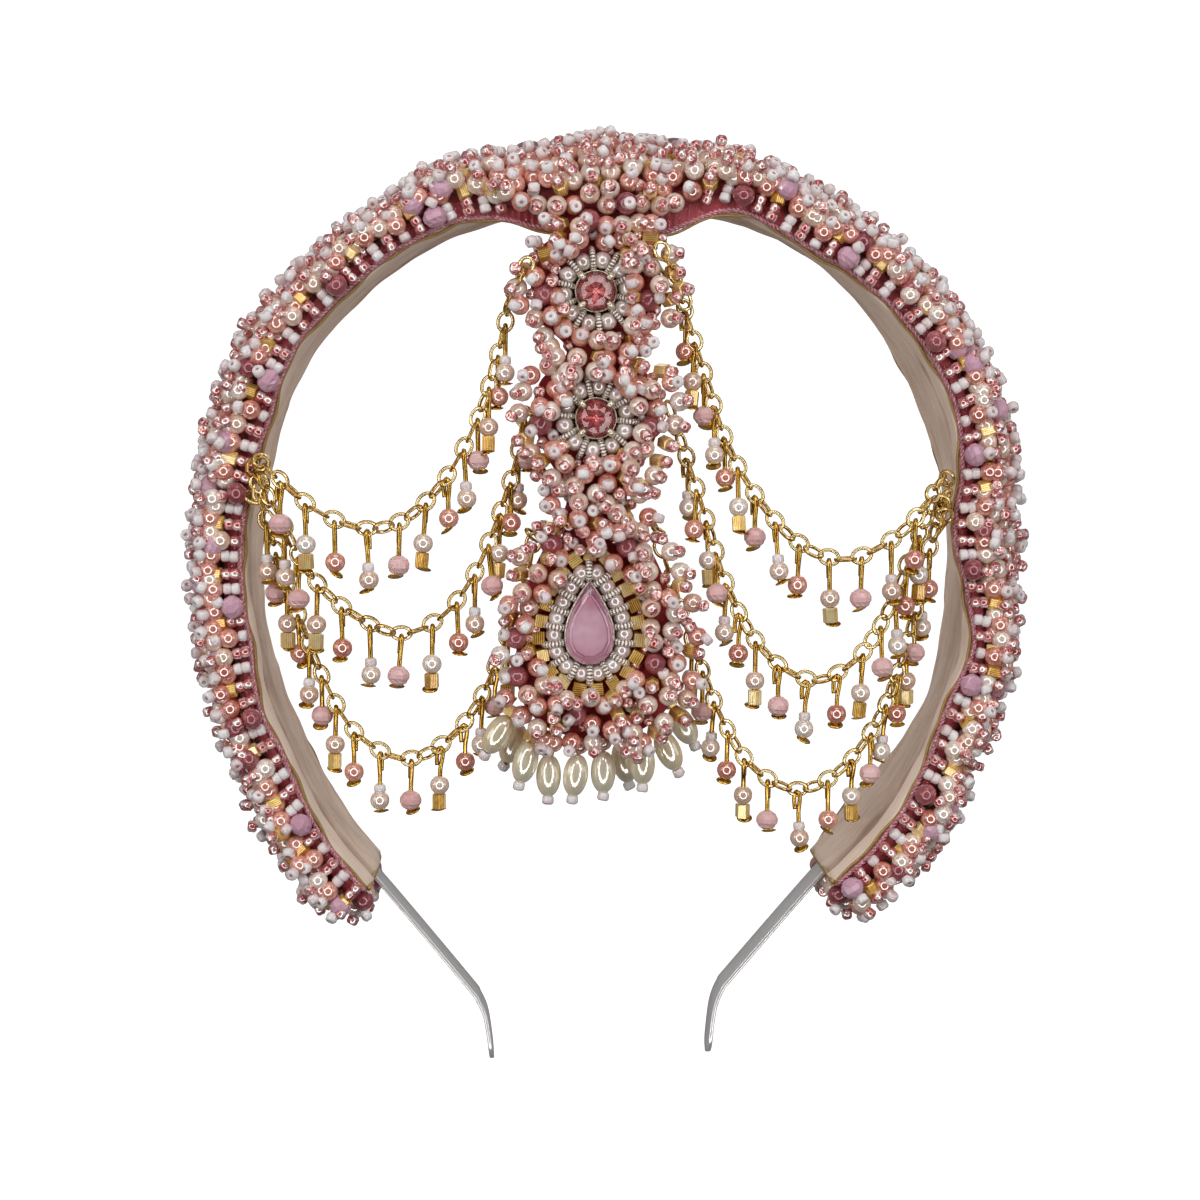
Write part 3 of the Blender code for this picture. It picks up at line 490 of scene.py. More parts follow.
class Mat:
    """A Principled material and a few helpers that add procedural nodes to it."""

    def __init__(self, name, **sockets):
        self.mat = bpy.data.materials.new(name)
        self.mat.use_nodes = True
        self.nodes, self.links = self.mat.node_tree.nodes, self.mat.node_tree.links
        self.shader = self.nodes["Principled BSDF"]
        for key, value in sockets.items():
            socket = self.shader.inputs[key.replace("_", " ")]
            socket.default_value = (*value[:3], 1.0) if socket.type == "RGBA" else value

    def node(self, kind, **values):
        n = self.nodes.new(kind)
        for key, value in values.items():
            if key in n.inputs.keys():
                n.inputs[key].default_value = value
            else:
                setattr(n, key, value)
        return n

    def link(self, a, b):
        self.links.new(a, b)

    def coords(self, source="Object", scale=(1, 1, 1)):
        c = self.node("ShaderNodeTexCoord")
        m = self.node("ShaderNodeMapping")
        m.inputs["Scale"].default_value = scale
        self.link(c.outputs[source], m.inputs["Vector"])
        return m.outputs["Vector"]

    def noise(self, vector, scale, detail=2.0, rough=0.5, distortion=0.0):
        n = self.node("ShaderNodeTexNoise")
        n.inputs["Scale"].default_value = scale
        n.inputs["Detail"].default_value = detail
        n.inputs["Roughness"].default_value = rough
        n.inputs["Distortion"].default_value = distortion
        self.link(vector, n.inputs["Vector"])
        return n.outputs["Fac"]

    def wave(self, vector, scale, direction="X", distortion=0.0, profile="SIN", detail=0.0):
        n = self.node("ShaderNodeTexWave", wave_type="BANDS", bands_direction=direction, wave_profile=profile)
        n.inputs["Scale"].default_value = scale
        n.inputs["Distortion"].default_value = distortion
        n.inputs["Detail"].default_value = detail
        self.link(vector, n.inputs["Vector"])
        return n.outputs["Fac"]

    def voronoi(self, vector, scale, feature="F1", output="Distance"):
        n = self.node("ShaderNodeTexVoronoi", feature=feature)
        n.inputs["Scale"].default_value = scale
        self.link(vector, n.inputs["Vector"])
        return n.outputs[output]

    def split(self, vector, axis):
        n = self.node("ShaderNodeSeparateXYZ")
        self.link(vector, n.inputs[0])
        return n.outputs[axis]

    def tone(self):
        return self.node("ShaderNodeAttribute", attribute_name="tone").outputs["Fac"]

    def ramp(self, fac, stops):
        r = self.node("ShaderNodeValToRGB")
        e = r.color_ramp.elements
        while len(e) > 1:
            e.remove(e[-1])
        e[0].position, e[0].color = stops[0][0], (*stops[0][1], 1)
        for pos, col in stops[1:]:
            x = e.new(pos)
            x.color = (*col, 1)
        self.link(fac, r.inputs["Fac"])
        return r.outputs["Color"]

    def maths(self, op, a, b=0.0, c=0.0, clamp=False):
        n = self.node("ShaderNodeMath", operation=op, use_clamp=clamp)
        for k, v in enumerate((a, b, c)):
            if isinstance(v, (int, float)):
                n.inputs[k].default_value = v
            else:
                self.link(v, n.inputs[k])
        return n.outputs[0]

    def mix(self, fac, a, b, blend="MIX"):
        n = self.node("ShaderNodeMix", data_type="RGBA", blend_type=blend)
        for k, v in ((0, fac), (6, a), (7, b)):
            if isinstance(v, (int, float)):
                n.inputs[k].default_value = v
            elif isinstance(v, tuple):
                n.inputs[k].default_value = (*v, 1)
            else:
                self.link(v, n.inputs[k])
        return n.outputs[2]

    def bump(self, height, strength, distance, normal=None):
        n = self.node("ShaderNodeBump")
        n.inputs["Strength"].default_value = strength
        n.inputs["Distance"].default_value = distance
        self.link(height, n.inputs["Height"])
        if normal is not None:
            self.link(normal, n.inputs["Normal"])
        return n.outputs["Normal"]

    def colour(self, out):
        self.link(out, self.shader.inputs["Base Color"])
        return self

    def rough(self, out):
        self.link(out, self.shader.inputs["Roughness"])
        return self

    def normal(self, out):
        self.link(out, self.shader.inputs["Normal"])
        return self


def pearl_material(name, dark, mid, light, rough=0.26, coat=1.0, sheen=(1.0, 0.8, 0.7), metal=0.45):
    m = Mat(name, Metallic=metal, Roughness=rough, Coat_Weight=coat, Coat_Roughness=0.10, Coat_IOR=3.3, Specular_IOR_Level=0.15, Sheen_Weight=0.05, Sheen_Roughness=0.35, Sheen_Tint=(*sheen, 1.0))
    v = m.coords("Object")
    cloud = m.noise(v, 900.0, 3.0, 0.6, 0.4)
    t = m.maths("ADD", m.maths("MULTIPLY", m.tone(), 0.62), m.maths("MULTIPLY", cloud, 0.42))
    m.colour(m.ramp(t, [(0.12, dark), (0.45, mid), (0.88, light)]))
    m.rough(m.maths("ADD", m.maths("MULTIPLY", cloud, 0.08), rough - 0.04))
    m.normal(m.bump(m.noise(v, 500.0, 1.0), 0.03, 0.00002))
    return m.mat


def make_materials():
    mats = {}
    mats["cream"] = pearl_material("cream_pearl", (0.79, 0.48, 0.32), (0.94, 0.72, 0.57), (1.0, 0.92, 0.82), rough=0.5, metal=0.05)
    mats["rose"] = pearl_material("rose_pearl", (0.56, 0.135, 0.075), (0.75, 0.24, 0.155), (0.92, 0.41, 0.30), rough=0.5, metal=0.05, sheen=(1.0, 0.7, 0.6))
    mats["ring"] = pearl_material("grey_pearl", (0.55, 0.42, 0.38), (0.72, 0.59, 0.55), (0.88, 0.78, 0.75), rough=0.5, metal=0.06)
    mats["ivory"] = pearl_material("ivory_pearl", (0.79, 0.63, 0.36), (0.96, 0.84, 0.55), (1.0, 0.96, 0.75), rough=0.36, sheen=(1.0, 0.98, 0.85), metal=0.14)

    m = Mat("white_seed", Roughness=0.16, Coat_Weight=0.7, Coat_Roughness=0.05, Subsurface_Weight=0.3, Subsurface_Radius=(1.0, 0.75, 0.75), Subsurface_Scale=0.0008)
    v = m.coords("Object")
    t = m.maths("ADD", m.maths("MULTIPLY", m.tone(), 0.6), m.maths("MULTIPLY", m.noise(v, 1500.0, 2.0), 0.4))
    body = m.ramp(t, [(0.1, (0.82, 0.67, 0.66)), (0.5, (0.93, 0.85, 0.84)), (0.9, (0.98, 0.95, 0.94))])
    # the thread in the seed's hole, darkened with painted shade of the hole
    hole_thread_and_shade = m.maths("LESS_THAN", m.split(m.coords("UV"), "Y"), 0.10)
    m.colour(m.mix(hole_thread_and_shade, body, (0.52, 0.30, 0.30)))
    m.normal(m.bump(m.noise(v, 1800.0, 2.0), 0.12, 0.00005))
    mats["white"] = m.mat

    # Silver-lined pink glass seed: painted highlight bands along its side for the lining's reflection, coral streaks on
    # its ends.
    m = Mat("pink_crystal", Roughness=0.16, Metallic=0.45, Coat_Weight=1.0, Coat_Roughness=0.04, Coat_IOR=2.0)
    v, u = m.coords("Object"), m.coords("UV")
    # stripes of painted highlight round the seed's side
    lining = m.wave(u, 0.9425, "X", 0.5, "SIN", 1.0)
    side = m.ramp(lining, [(0.34, (0.46, 0.06, 0.07)), (0.60, (0.84, 0.27, 0.26)), (0.76, (1.0, 0.82, 0.78)), (1.0, (1.0, 0.96, 0.94))])
    streak = m.noise(v, 1350.0, 2.0, 0.55, 2.2)
    end = m.ramp(streak, [(0.36, (0.50, 0.05, 0.035)), (0.45, (0.86, 0.22, 0.17)), (0.51, (0.97, 0.58, 0.51)), (0.62, (1.0, 0.90, 0.86))])
    on_end = m.maths("GREATER_THAN", m.maths("ABSOLUTE", m.maths("SUBTRACT", m.split(u, "Y"), 0.504)), 0.267)
    m.colour(m.mix(on_end, m.mix(0.22, side, end), end))
    m.rough(m.maths("ADD", m.maths("MULTIPLY", streak, 0.16), 0.08))
    m.normal(m.bump(m.noise(v, 1100.0, 2.0), 0.14, 0.0001))
    mats["crystal"] = m.mat

    # Gold tubes and cubes: satin metal with fine lines along the tube.
    m = Mat("gold_bead", Metallic=0.48, Roughness=0.3, Anisotropic=0.2, Coat_Weight=0.6, Coat_Roughness=0.12)
    u = m.coords("UV", (1, 1, 1))
    o = m.coords("Object")
    lines = m.wave(u, 7.5, "X", 1.2, "SIN", 1.0)
    blot = m.noise(o, 700.0, 3.0, 0.6)
    t = m.maths("ADD", m.maths("ADD", m.maths("MULTIPLY", blot, 0.42), m.maths("MULTIPLY", lines, 0.30)), m.maths("MULTIPLY", m.tone(), 0.28))
    m.colour(m.ramp(t, [(0.26, (0.38, 0.165, 0.015)), (0.42, (0.88, 0.50, 0.08)), (0.56, (1.0, 0.72, 0.22)), (0.72, (1.0, 0.93, 0.60))]))
    m.rough(m.maths("ADD", m.maths("MULTIPLY", blot, 0.10), 0.25))
    m.normal(m.bump(lines, 0.28, 0.00004, m.bump(blot, 0.5, 0.00016)))
    mats["gold"] = m.mat

    for key, name, dark, light, rough in (
        ("mauve", "mauve_glass", (0.27, 0.045, 0.06), (0.46, 0.125, 0.14), 0.14),
        ("lilac", "lilac_glass", (0.60, 0.33, 0.44), (0.74, 0.46, 0.57), 0.34),
        ("pink", "pink_opal", (0.80, 0.47, 0.46), (0.90, 0.60, 0.59), 0.38),
    ):
        m = Mat(name, Roughness=rough, Coat_Weight=0.9 if key == "mauve" else 0.35, Coat_Roughness=0.05 if key == "mauve" else 0.12, Subsurface_Weight=0.3, Subsurface_Radius=(1.0, 0.5, 0.6), Subsurface_Scale=0.001)
        v = m.coords("Object")
        cloud = m.noise(v, 420.0, 3.0, 0.6, 0.6)
        t = m.maths("ADD", m.maths("MULTIPLY", m.tone(), 0.5), m.maths("MULTIPLY", cloud, 0.5))
        m.colour(m.ramp(t, [(0.2, dark), (0.8, light)]))
        m.rough(m.maths("ADD", m.maths("MULTIPLY", cloud, 0.2), rough - 0.08))
        m.normal(m.bump(m.noise(v, 1600.0, 2.0), 0.1, 0.00005))
        mats[key] = m.mat

    # Chain: pale bright gold. Pins: darker antique gold.
    m = Mat("chain_gold", Metallic=0.9, Roughness=0.2)
    v = m.coords("Object")
    n = m.noise(v, 300.0, 2.0, 0.5)
    groove = m.wave(m.coords("UV", (1, 1, 1)), 0.65, "X", 0.0)
    m.colour(m.ramp(m.maths("ADD", m.maths("MULTIPLY", n, 0.5), m.maths("MULTIPLY", groove, 0.5)), [(0.22, (0.37, 0.19, 0.04)), (0.48, (0.80, 0.54, 0.165)), (0.75, (1.0, 0.86, 0.46))]))
    m.rough(m.maths("ADD", m.maths("MULTIPLY", n, 0.12), 0.16))
    m.normal(m.bump(groove, 0.12, 0.00005))
    mats["chain"] = m.mat
    m = Mat("pin_gold", Metallic=1.0, Roughness=0.26)
    v = m.coords("Object")
    n = m.noise(v, 600.0, 3.0, 0.6)
    m.colour(m.ramp(n, [(0.25, (0.28, 0.14, 0.02)), (0.5, (0.55, 0.32, 0.05)), (0.8, (0.88, 0.62, 0.19))]))
    m.rough(m.maths("ADD", m.maths("MULTIPLY", n, 0.16), 0.16))
    m.normal(m.bump(m.noise(v, 900.0, 2.0), 0.12, 0.00003))
    mats["pin"] = m.mat

    # Silver bullion wire and the yarn of the trim.
    m = Mat("bullion_silver", Metallic=0.6, Roughness=0.24, Coat_Weight=0.4, Coat_Roughness=0.1)
    # painted shade in the gaps between the wire's turns, painted highlight on their crests
    rib = m.maths("COSINE", m.maths("MULTIPLY", m.split(m.coords("UV"), "Y"), TAU))
    n = m.maths("ADD", m.maths("MULTIPLY", rib, 0.40), m.maths("ADD", m.maths("MULTIPLY", m.noise(m.coords("Object"), 1200.0, 2.0), 0.3), 0.35))
    m.colour(m.ramp(n, [(0.16, (0.17, 0.12, 0.09)), (0.42, (0.72, 0.63, 0.53)), (0.75, (1.0, 0.97, 0.90))]))
    mats["bullion"] = m.mat
    m = Mat("pink_yarn", Metallic=0.45, Roughness=0.35, Sheen_Weight=0.4, Sheen_Roughness=0.4, Sheen_Tint=(1.0, 0.7, 0.78, 1.0))
    v = m.coords("Object")
    n = m.noise(v, 2200.0, 3.0, 0.7)
    m.colour(m.ramp(n, [(0.3, (0.40, 0.11, 0.145)), (0.52, (0.70, 0.30, 0.35)), (0.70, (0.98, 0.74, 0.76))]))
    m.normal(m.bump(m.noise(v, 4200.0, 2.0), 0.5, 0.00008))
    mats["yarn"] = m.mat
    m = Mat("gold_cord", Metallic=0.6, Roughness=0.4)
    u = m.coords("UV", (1, 1, 1))
    w = m.wave(u, 2.2, "DIAGONAL", 0.4)
    m.colour(m.ramp(w, [(0.2, (0.28, 0.13, 0.03)), (0.6, (0.64, 0.40, 0.11)), (0.9, (0.88, 0.66, 0.28))]))
    m.normal(m.bump(w, 0.6, 0.0001))
    mats["cord"] = m.mat

    # Dark rose fabric: ribbed weave with small metallic flecks.
    m = Mat("rose_fabric", Roughness=0.62, Sheen_Weight=0.5, Sheen_Roughness=0.4, Sheen_Tint=(1.0, 0.62, 0.66, 1.0), Specular_IOR_Level=0.35)
    u = m.coords("UV")
    o = m.coords("Object")
    warp = m.wave(u, 16.0, "X", 0.5, "SIN", 1.0)
    weft = m.wave(u, 11.0, "Y", 0.5, "SIN", 1.0)
    weave = m.maths("MULTIPLY", warp, weft)
    big = m.noise(o, 160.0, 3.0, 0.6)
    fleck = m.maths("GREATER_THAN", m.noise(o, 3400.0, 2.0, 0.6), 0.66)
    base = m.ramp(m.maths("ADD", m.maths("MULTIPLY", weave, 0.55), m.maths("MULTIPLY", big, 0.5)), [(0.15, (0.36, 0.028, 0.042)), (0.5, (0.55, 0.092, 0.112)), (0.9, (0.75, 0.28, 0.30))])
    m.colour(m.mix(fleck, base, (0.92, 0.60, 0.60)))
    m.rough(m.maths("SUBTRACT", 0.66, m.maths("MULTIPLY", fleck, 0.4)))
    m.link(m.maths("MULTIPLY", fleck, 0.8), m.shader.inputs["Metallic"])
    m.normal(m.bump(weave, 0.5, 0.00012))
    mats["fabric"] = m.mat
    m = Mat("rose_felt", Roughness=0.92, Sheen_Weight=0.7, Sheen_Roughness=0.5, Sheen_Tint=(1.0, 0.66, 0.70, 1.0), Specular_IOR_Level=0.2)
    o = m.coords("Object")
    fibre = m.noise(o, 2600.0, 4.0, 0.7, 0.8)
    big = m.noise(o, 240.0, 3.0, 0.6)
    m.colour(m.ramp(m.maths("ADD", m.maths("MULTIPLY", fibre, 0.55), m.maths("MULTIPLY", big, 0.45)), [(0.25, (0.32, 0.022, 0.030)), (0.5, (0.50, 0.055, 0.062)), (0.75, (0.68, 0.145, 0.15))]))
    m.normal(m.bump(fibre, 0.7, 0.00018))
    mats["felt"] = m.mat

    # Beige microfibre suede: cloudy nap with soft streaks along the band.
    m = Mat("beige_suede", Roughness=0.9, Sheen_Weight=0.55, Sheen_Roughness=0.55, Sheen_Tint=(1.0, 0.90, 0.82, 1.0), Specular_IOR_Level=0.2)
    u = m.coords("UV", (0.35, 3.2, 1.0))
    o = m.coords("Object")
    streak = m.noise(u, 3.4, 4.0, 0.6, 0.6)
    nap = m.noise(o, 2400.0, 4.0, 0.7, 0.6)
    cloud = m.noise(o, 90.0, 3.0, 0.6, 0.5)
    t = m.maths("ADD", m.maths("ADD", m.maths("MULTIPLY", streak, 0.5), m.maths("MULTIPLY", cloud, 0.3)), m.maths("MULTIPLY", nap, 0.2))
    body = m.ramp(t, [(0.34, (0.66, 0.475, 0.345)), (0.5, (0.92, 0.72, 0.56)), (0.64, (1.0, 0.90, 0.76))])
    # painted shade in the fold behind the front rim, painted light on the rim itself
    depth = m.maths("ADD", m.split(o, "Y"), m.maths("MULTIPLY", m.maths("SUBTRACT", cloud, 0.5), 0.004))
    # fold: where the painted shade of the groove goes
    fold = m.maths("SUBTRACT", 1.0, m.maths("MULTIPLY", m.maths("ABSOLUTE", m.maths("ADD", depth, 0.0078)), 430.0), clamp=True)
    painted_rim_light = m.maths("MULTIPLY", m.maths("SUBTRACT", -0.0108, depth), 900.0, clamp=True)
    # painted shade colour in the fold, then painted light colour on the rim
    body = m.mix(m.maths("MULTIPLY", fold, 0.75), body, (0.36, 0.19, 0.105))
    m.colour(m.mix(m.maths("MULTIPLY", painted_rim_light, 0.55), body, (0.98, 0.83, 0.68)))
    m.normal(m.bump(nap, 0.5, 0.0001, m.bump(streak, 0.25, 0.0005)))
    mats["suede"] = m.mat

    # Satin steel, brushed along its length.
    m = Mat("satin_steel", Metallic=0.5, Roughness=0.3, Anisotropic=0.4)
    o = m.coords("Object", (1.0, 9.0, 1.0))
    brush = m.noise(o, 420.0, 3.0, 0.6)
    smear = m.noise(m.coords("Object"), 60.0, 3.0, 0.6)
    m.colour(m.ramp(m.maths("ADD", m.maths("MULTIPLY", brush, 0.6), m.maths("MULTIPLY", smear, 0.4)), [(0.3, (0.84, 0.83, 0.82)), (0.7, (0.97, 0.96, 0.95))]))
    m.rough(m.maths("ADD", m.maths("MULTIPLY", brush, 0.12), 0.17))
    m.normal(m.bump(brush, 0.03, 0.00002))
    mats["steel"] = m.mat

    # Stones: clear coloured glass over a foiled back.
    for key, name, tint in (("rose_glass", "rose_cut_glass", (0.95, 0.47, 0.49)), ("pink_glass", "pink_cut_glass", (0.98, 0.69, 0.77))):
        m = Mat(name, Roughness=0.0, Transmission_Weight=1.0, IOR=1.58, Coat_Weight=0.0)
        o = m.coords("Object")
        m.colour(m.ramp(m.noise(o, 180.0, 1.0), [(0.3, tint), (0.7, tuple(min(1.0, c * 1.05 + 0.01) for c in tint))]))
        mats[key] = m.mat
    # the darker rose foil is painted shade for every second back facet of the round stones
    for key, name, dark, light in (("rose_foil", "rose_foil", (0.88, 0.46, 0.44), (1.0, 0.80, 0.77)), ("rose_foil_painted_shade", "rose_foil_painted_shade", (0.60, 0.26, 0.28), (0.84, 0.46, 0.47)), ("pink_foil", "pink_foil", (0.78, 0.46, 0.58), (1.0, 0.93, 0.96))):
        m = Mat(name, Metallic=1.0, Roughness=0.52 if key == "pink_foil" else 0.26)
        o = m.coords("Object")
        m.colour(m.ramp(m.noise(o, 260.0, 2.0), [(0.3, dark), (0.7, light)]))
        mats[key] = m.mat
    m = Mat("pale_brass", Metallic=0.8, Roughness=0.3)
    o = m.coords("Object")
    n = m.noise(o, 1100.0, 3.0)
    m.colour(m.ramp(n, [(0.3, (0.58, 0.53, 0.38)), (0.6, (0.80, 0.77, 0.60)), (0.85, (0.94, 0.92, 0.80))]))
    m.rough(m.maths("ADD", m.maths("MULTIPLY", n, 0.25), 0.14))
    mats["setting"] = m.mat
    return mats


MATS = make_materials()

# ---- the camera ----------------------------------------------------------------------------------------
camera = bpy.data.objects.new("camera", bpy.data.cameras.new("camera"))
bpy.context.scene.collection.objects.link(camera)
camera.data.lens, camera.data.sensor_width = 60.0, 36.0
camera.data.clip_start, camera.data.clip_end = 0.01, 10.0
camera.location = (-0.01615, -0.35400, -0.03288)
camera.rotation_euler = (math.radians(90 - 5.7106), 0, math.radians(-2.6491))
bpy.context.scene.camera = camera


def finish_piece(obj, slot, *nodes):
    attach(obj, "root")
    if nodes:
        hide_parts(*nodes)
    return obj


# ---- the arch's soft parts -----------------------------------------------------------------------------
GRID_A = np.linspace(-END_ANGLE, END_ANGLE, 573)
_sec, _ = smooth_through(PAD_SECTION, 97)
GRID_Y, GRID_S = _sec[:, 0], _sec[:, 1]


def pad_height(angle, share):
    top = sided(CROWN, CROWN_COLUMNS, "", angle) - STACK_H
    return HEM_H + (top - HEM_H) * share


def pad_points():
    a = GRID_A[:, None]
    h = pad_height(a, GRID_S[None, :])
    wrinkle = 0.10 * np.sin(a * 0.9 + GRID_Y[None, :] * 0.7) + 0.07 * np.sin(a * 2.3 - GRID_Y[None, :] * 0.35)
    return at(a, GRID_Y[None, :], h + wrinkle * np.clip(GRID_S[None, :], 0, 1))


PAD = pad_points()
_da = np.gradient(PAD, axis=0)
_dt = np.gradient(PAD, axis=1)
PAD_N = unit(np.cross(_da, _dt))
if np.mean(PAD_N[286, 48] * np.array([0, 0, 1.0])) < 0:
    PAD_N = -PAD_N
OFFSET = PAD + 1.6 * PAD_N
OFFSET_LEN = np.concatenate([np.zeros((len(GRID_A), 1)), np.cumsum(np.linalg.norm(np.diff(OFFSET, axis=1), axis=2), axis=1)], axis=1)
HEM_LEN = np.concatenate([np.zeros((len(GRID_A), 1)), np.cumsum(np.linalg.norm(np.diff(PAD, axis=1), axis=2), axis=1)], axis=1)
ALONG = np.concatenate([[0], np.cumsum(np.linalg.norm(np.diff(OFFSET[:, 48], axis=0), axis=1))])
ALONG -= ALONG[-1] / 2


def grid_at(arr, i, j):
    """Bilinear value of a grid at fractional places."""
    i = np.clip(i, 0, arr.shape[0] - 1.001)
    j = np.clip(j, 0, arr.shape[1] - 1.001)
    i0, j0 = i.astype(int), j.astype(int)
    f, g = (i - i0)[..., None], (j - j0)[..., None]
    return arr[i0, j0] * (1 - f) * (1 - g) + arr[i0 + 1, j0] * f * (1 - g) + arr[i0, j0 + 1] * (1 - f) * g + arr[i0 + 1, j0 + 1] * f * g


def on_pad(angle, length, table=None):
    """Point, outward normal and the directions across and along the band, at an angle and a length across it."""
    angle, length = np.atleast_1d(np.asarray(angle, float)), np.atleast_1d(np.asarray(length, float))
    table = HEM_LEN if table is None else table
    i = (angle + END_ANGLE) / (2 * END_ANGLE) * (len(GRID_A) - 1)
    i0 = np.clip(np.round(i).astype(int), 0, len(GRID_A) - 1)
    j = np.array([np.interp(s, table[k], np.arange(len(GRID_Y))) for s, k in zip(length, i0)])
    p = grid_at(PAD, i, j)
    n = unit(grid_at(PAD_N, i, j))
    across = unit(grid_at(_dt, i, j))
    along = unit(grid_at(_da, i, j))
    return p, n, across, along


def build_pad():
    rows = np.arange(0, 97, 2)
    cols = np.arange(0, len(GRID_A), 2)
    top = PAD[np.ix_(cols, rows)]
    a = GRID_A[cols][:, None]
    y = np.clip(GRID_Y[rows][None, :], -13.7, 14.7)
    under = at(a, y, np.full((len(cols), len(rows)), LINING_T + 0.15))
    # the channel over the steel strip
    under = at(a, y, LINING_T + 0.15 + 1.05 * np.clip((4.4 - np.abs(y)) / 0.5, 0, 1))
    obj = grid_solid("padding_cover", top, under, MATS["fabric"])
    finish_piece(obj, "rose_fabric", "band_pad")
    return obj


def lining_points():
    """Inner face of the suede: soft ridges run along the band, raised over the strip."""
    a = np.linspace(-END_ANGLE - 0.6, END_ANGLE + 0.6, 260)[:, None]
    y = np.concatenate([np.linspace(-14.15, -13.0, 3, endpoint=False), np.linspace(-13.0, 13.8, 38, endpoint=False), np.linspace(13.8, 15.1, 4)])[None, :]
    wander = 0.5 * np.sin(a * 0.045 + 1.0) + 0.3 * np.sin(a * 0.11)
    ridge = 0.42 * np.exp(-(((y - 0.2) / 3.6) ** 4))
    groove = -0.62 * np.exp(-(((y + 8.0 + wander) / 1.1) ** 2)) - 0.50 * np.exp(-(((y - 8.8 - wander) / 1.4) ** 2))
    fold = 0.50 * np.exp(-(((y + 10.6 + 0.6 * wander) / 1.0) ** 2)) + 0.36 * np.exp(-(((y - 12.0) / 1.2) ** 2))
    ripple = 0.09 * np.sin(a * 0.5 + y * 0.4) + 0.07 * np.sin(a * 0.83 - y * 0.6)
    inner = -(ridge + groove + fold + ripple) * 0.9
    edge = np.clip((np.abs(y - 0.5) - 13.6) / 1.0, 0, 1)
    inner = inner * (1 - edge) + edge * 0.25
    return a, y, inner


def build_lining():
    a, y, inner = lining_points()
    top = at(a, np.broadcast_to(y, inner.shape), inner)
    under = at(a, np.broadcast_to(y, inner.shape), np.full(inner.shape, LINING_T - 0.05))
    obj = grid_solid("suede_lining", top, under, MATS["suede"])
    finish_piece(obj, "suede", "lining")
    return obj


DIP_COLUMNS = ("x", "drop")
DIP = [(-24.0, 0.0), (-17.2, 0.9), (-11.0, 1.7), (-5.6, 2.6), (2.0, 2.8), (9.5, 2.6), (16.0, 1.9), (20.3, 1.4), (25.0, 0.6), (30.0, 0.0)]


def hem_dip(x):
    """How far the front hem hangs down over the top of the pendant."""
    x = np.asarray(x, float)
    return np.where((x > DIP[0][0]) & (x < DIP[-1][0]), np.maximum(column(DIP, DIP_COLUMNS, "drop", np.clip(x, DIP[0][0], DIP[-1][0])), 0.0), 0.0)


def build_gusset():
    """Ribbed fabric between the front edge and its hem, where the hem dips."""
    a = np.linspace(-26.0, 31.0, 340)
    hem = at(a, np.full_like(a, -14.55), 1.02)
    share = np.linspace(0.0, 1.0, 7)
    top = np.zeros((340, 7, 3))
    rib = 0.10 * np.sin(a * 6.2)
    for k, f in enumerate(share):
        top[:, k, 0] = hem[:, 0]
        top[:, k, 1] = -14.72 - 0.10 * math.sin(math.pi * f) - rib
        top[:, k, 2] = hem[:, 2] + 1.1 * (1 - f) - hem_dip(hem[:, 0]) * f
    under = top.copy()
    under[:, :, 1] = -14.1
    finish_piece(grid_solid("neck_fabric", top, under, MATS["fabric"]), "rose_fabric")


def build_trim():
    """Twisted metallic yarn along both edges, and a thin gold cord between it and the suede."""
    yarn, cord = Batch("edge_yarn"), Batch("edge_gold_cord")
    for y_yarn, y_cord, sign in ((-14.55, -14.28, -1), (15.6, 15.32, 1)):
        a = np.linspace(-END_ANGLE - 0.2, END_ANGLE + 0.2, 1050)
        mid = at(a, np.full_like(a, y_yarn), 1.02 + 0.08 * np.sin(a * 0.7))
        if sign < 0:
            mid[:, 2] -= hem_dip(mid[:, 0])
        run = np.concatenate([[0], np.cumsum(np.linalg.norm(np.diff(mid, axis=0), axis=1))])
        d = unit(np.gradient(mid, axis=0))
        side = np.broadcast_to([0, 1.0, 0], d.shape)
        up = unit(np.cross(d, side))
        for ply in range(3):
            t = run * TAU / 2.3 + ply * TAU / 3
            path = mid + 0.27 * (np.cos(t)[:, None] * side + np.sin(t)[:, None] * up)
            yarn.add(tube(path, 0.28, 4, v_scale=0.3), np.eye(4))
        a = np.linspace(-END_ANGLE - 0.2, END_ANGLE + 0.2, 420)
        yarn_low = at(a, np.full_like(a, y_cord), 0.42 + 0.22 * np.sin(a * 0.31) + 0.16 * np.sin(a * 0.83 + 1.0))
        if sign < 0:
            yarn_low[:, 2] -= hem_dip(yarn_low[:, 0])
            yarn_low[:, 1] -= 0.2 * np.clip(hem_dip(yarn_low[:, 0]), 0, 1)
        cord.add(tube(yarn_low, 0.29, 6, v_scale=2.0), np.eye(4))
    for end in (-END_ANGLE - 0.55, END_ANGLE + 0.55):
        y = np.linspace(-14.3, 15.3, 60)
        cord.add(tube(at(np.full(60, end), y, np.full(60, 0.30)), 0.42, 7, v_scale=2.0), np.eye(4))
    finish_piece(yarn.build(MATS["yarn"]), "rose_fabric")
    finish_piece(cord.build(MATS["cord"]), "rose_fabric")


LEG_COLUMNS = ("x", "z", "width_share")
LEG_LEFT = [(-39.2, -117.7, 1.0), (-23.3, -137.4, 1.0), (-21.4, -140.2, 1.0), (-20.2, -143.0, 1.0), (-19.6, -146.2, 1.0), (-19.2, -149.6, 0.94), (-19.05, -151.1, 0.7), (-19.0, -151.7, 0.3)]
LEG_RIGHT = [(39.9, -117.3, 1.0), (23.8, -136.0, 1.0), (21.9, -138.5, 1.0), (20.7, -141.2, 1.0), (20.1, -144.2, 1.0), (19.6, -149.0, 0.94), (19.45, -150.5, 0.7), (19.4, -151.1, 0.3)]
STRIP_W, STRIP_T = 7.0, 0.8


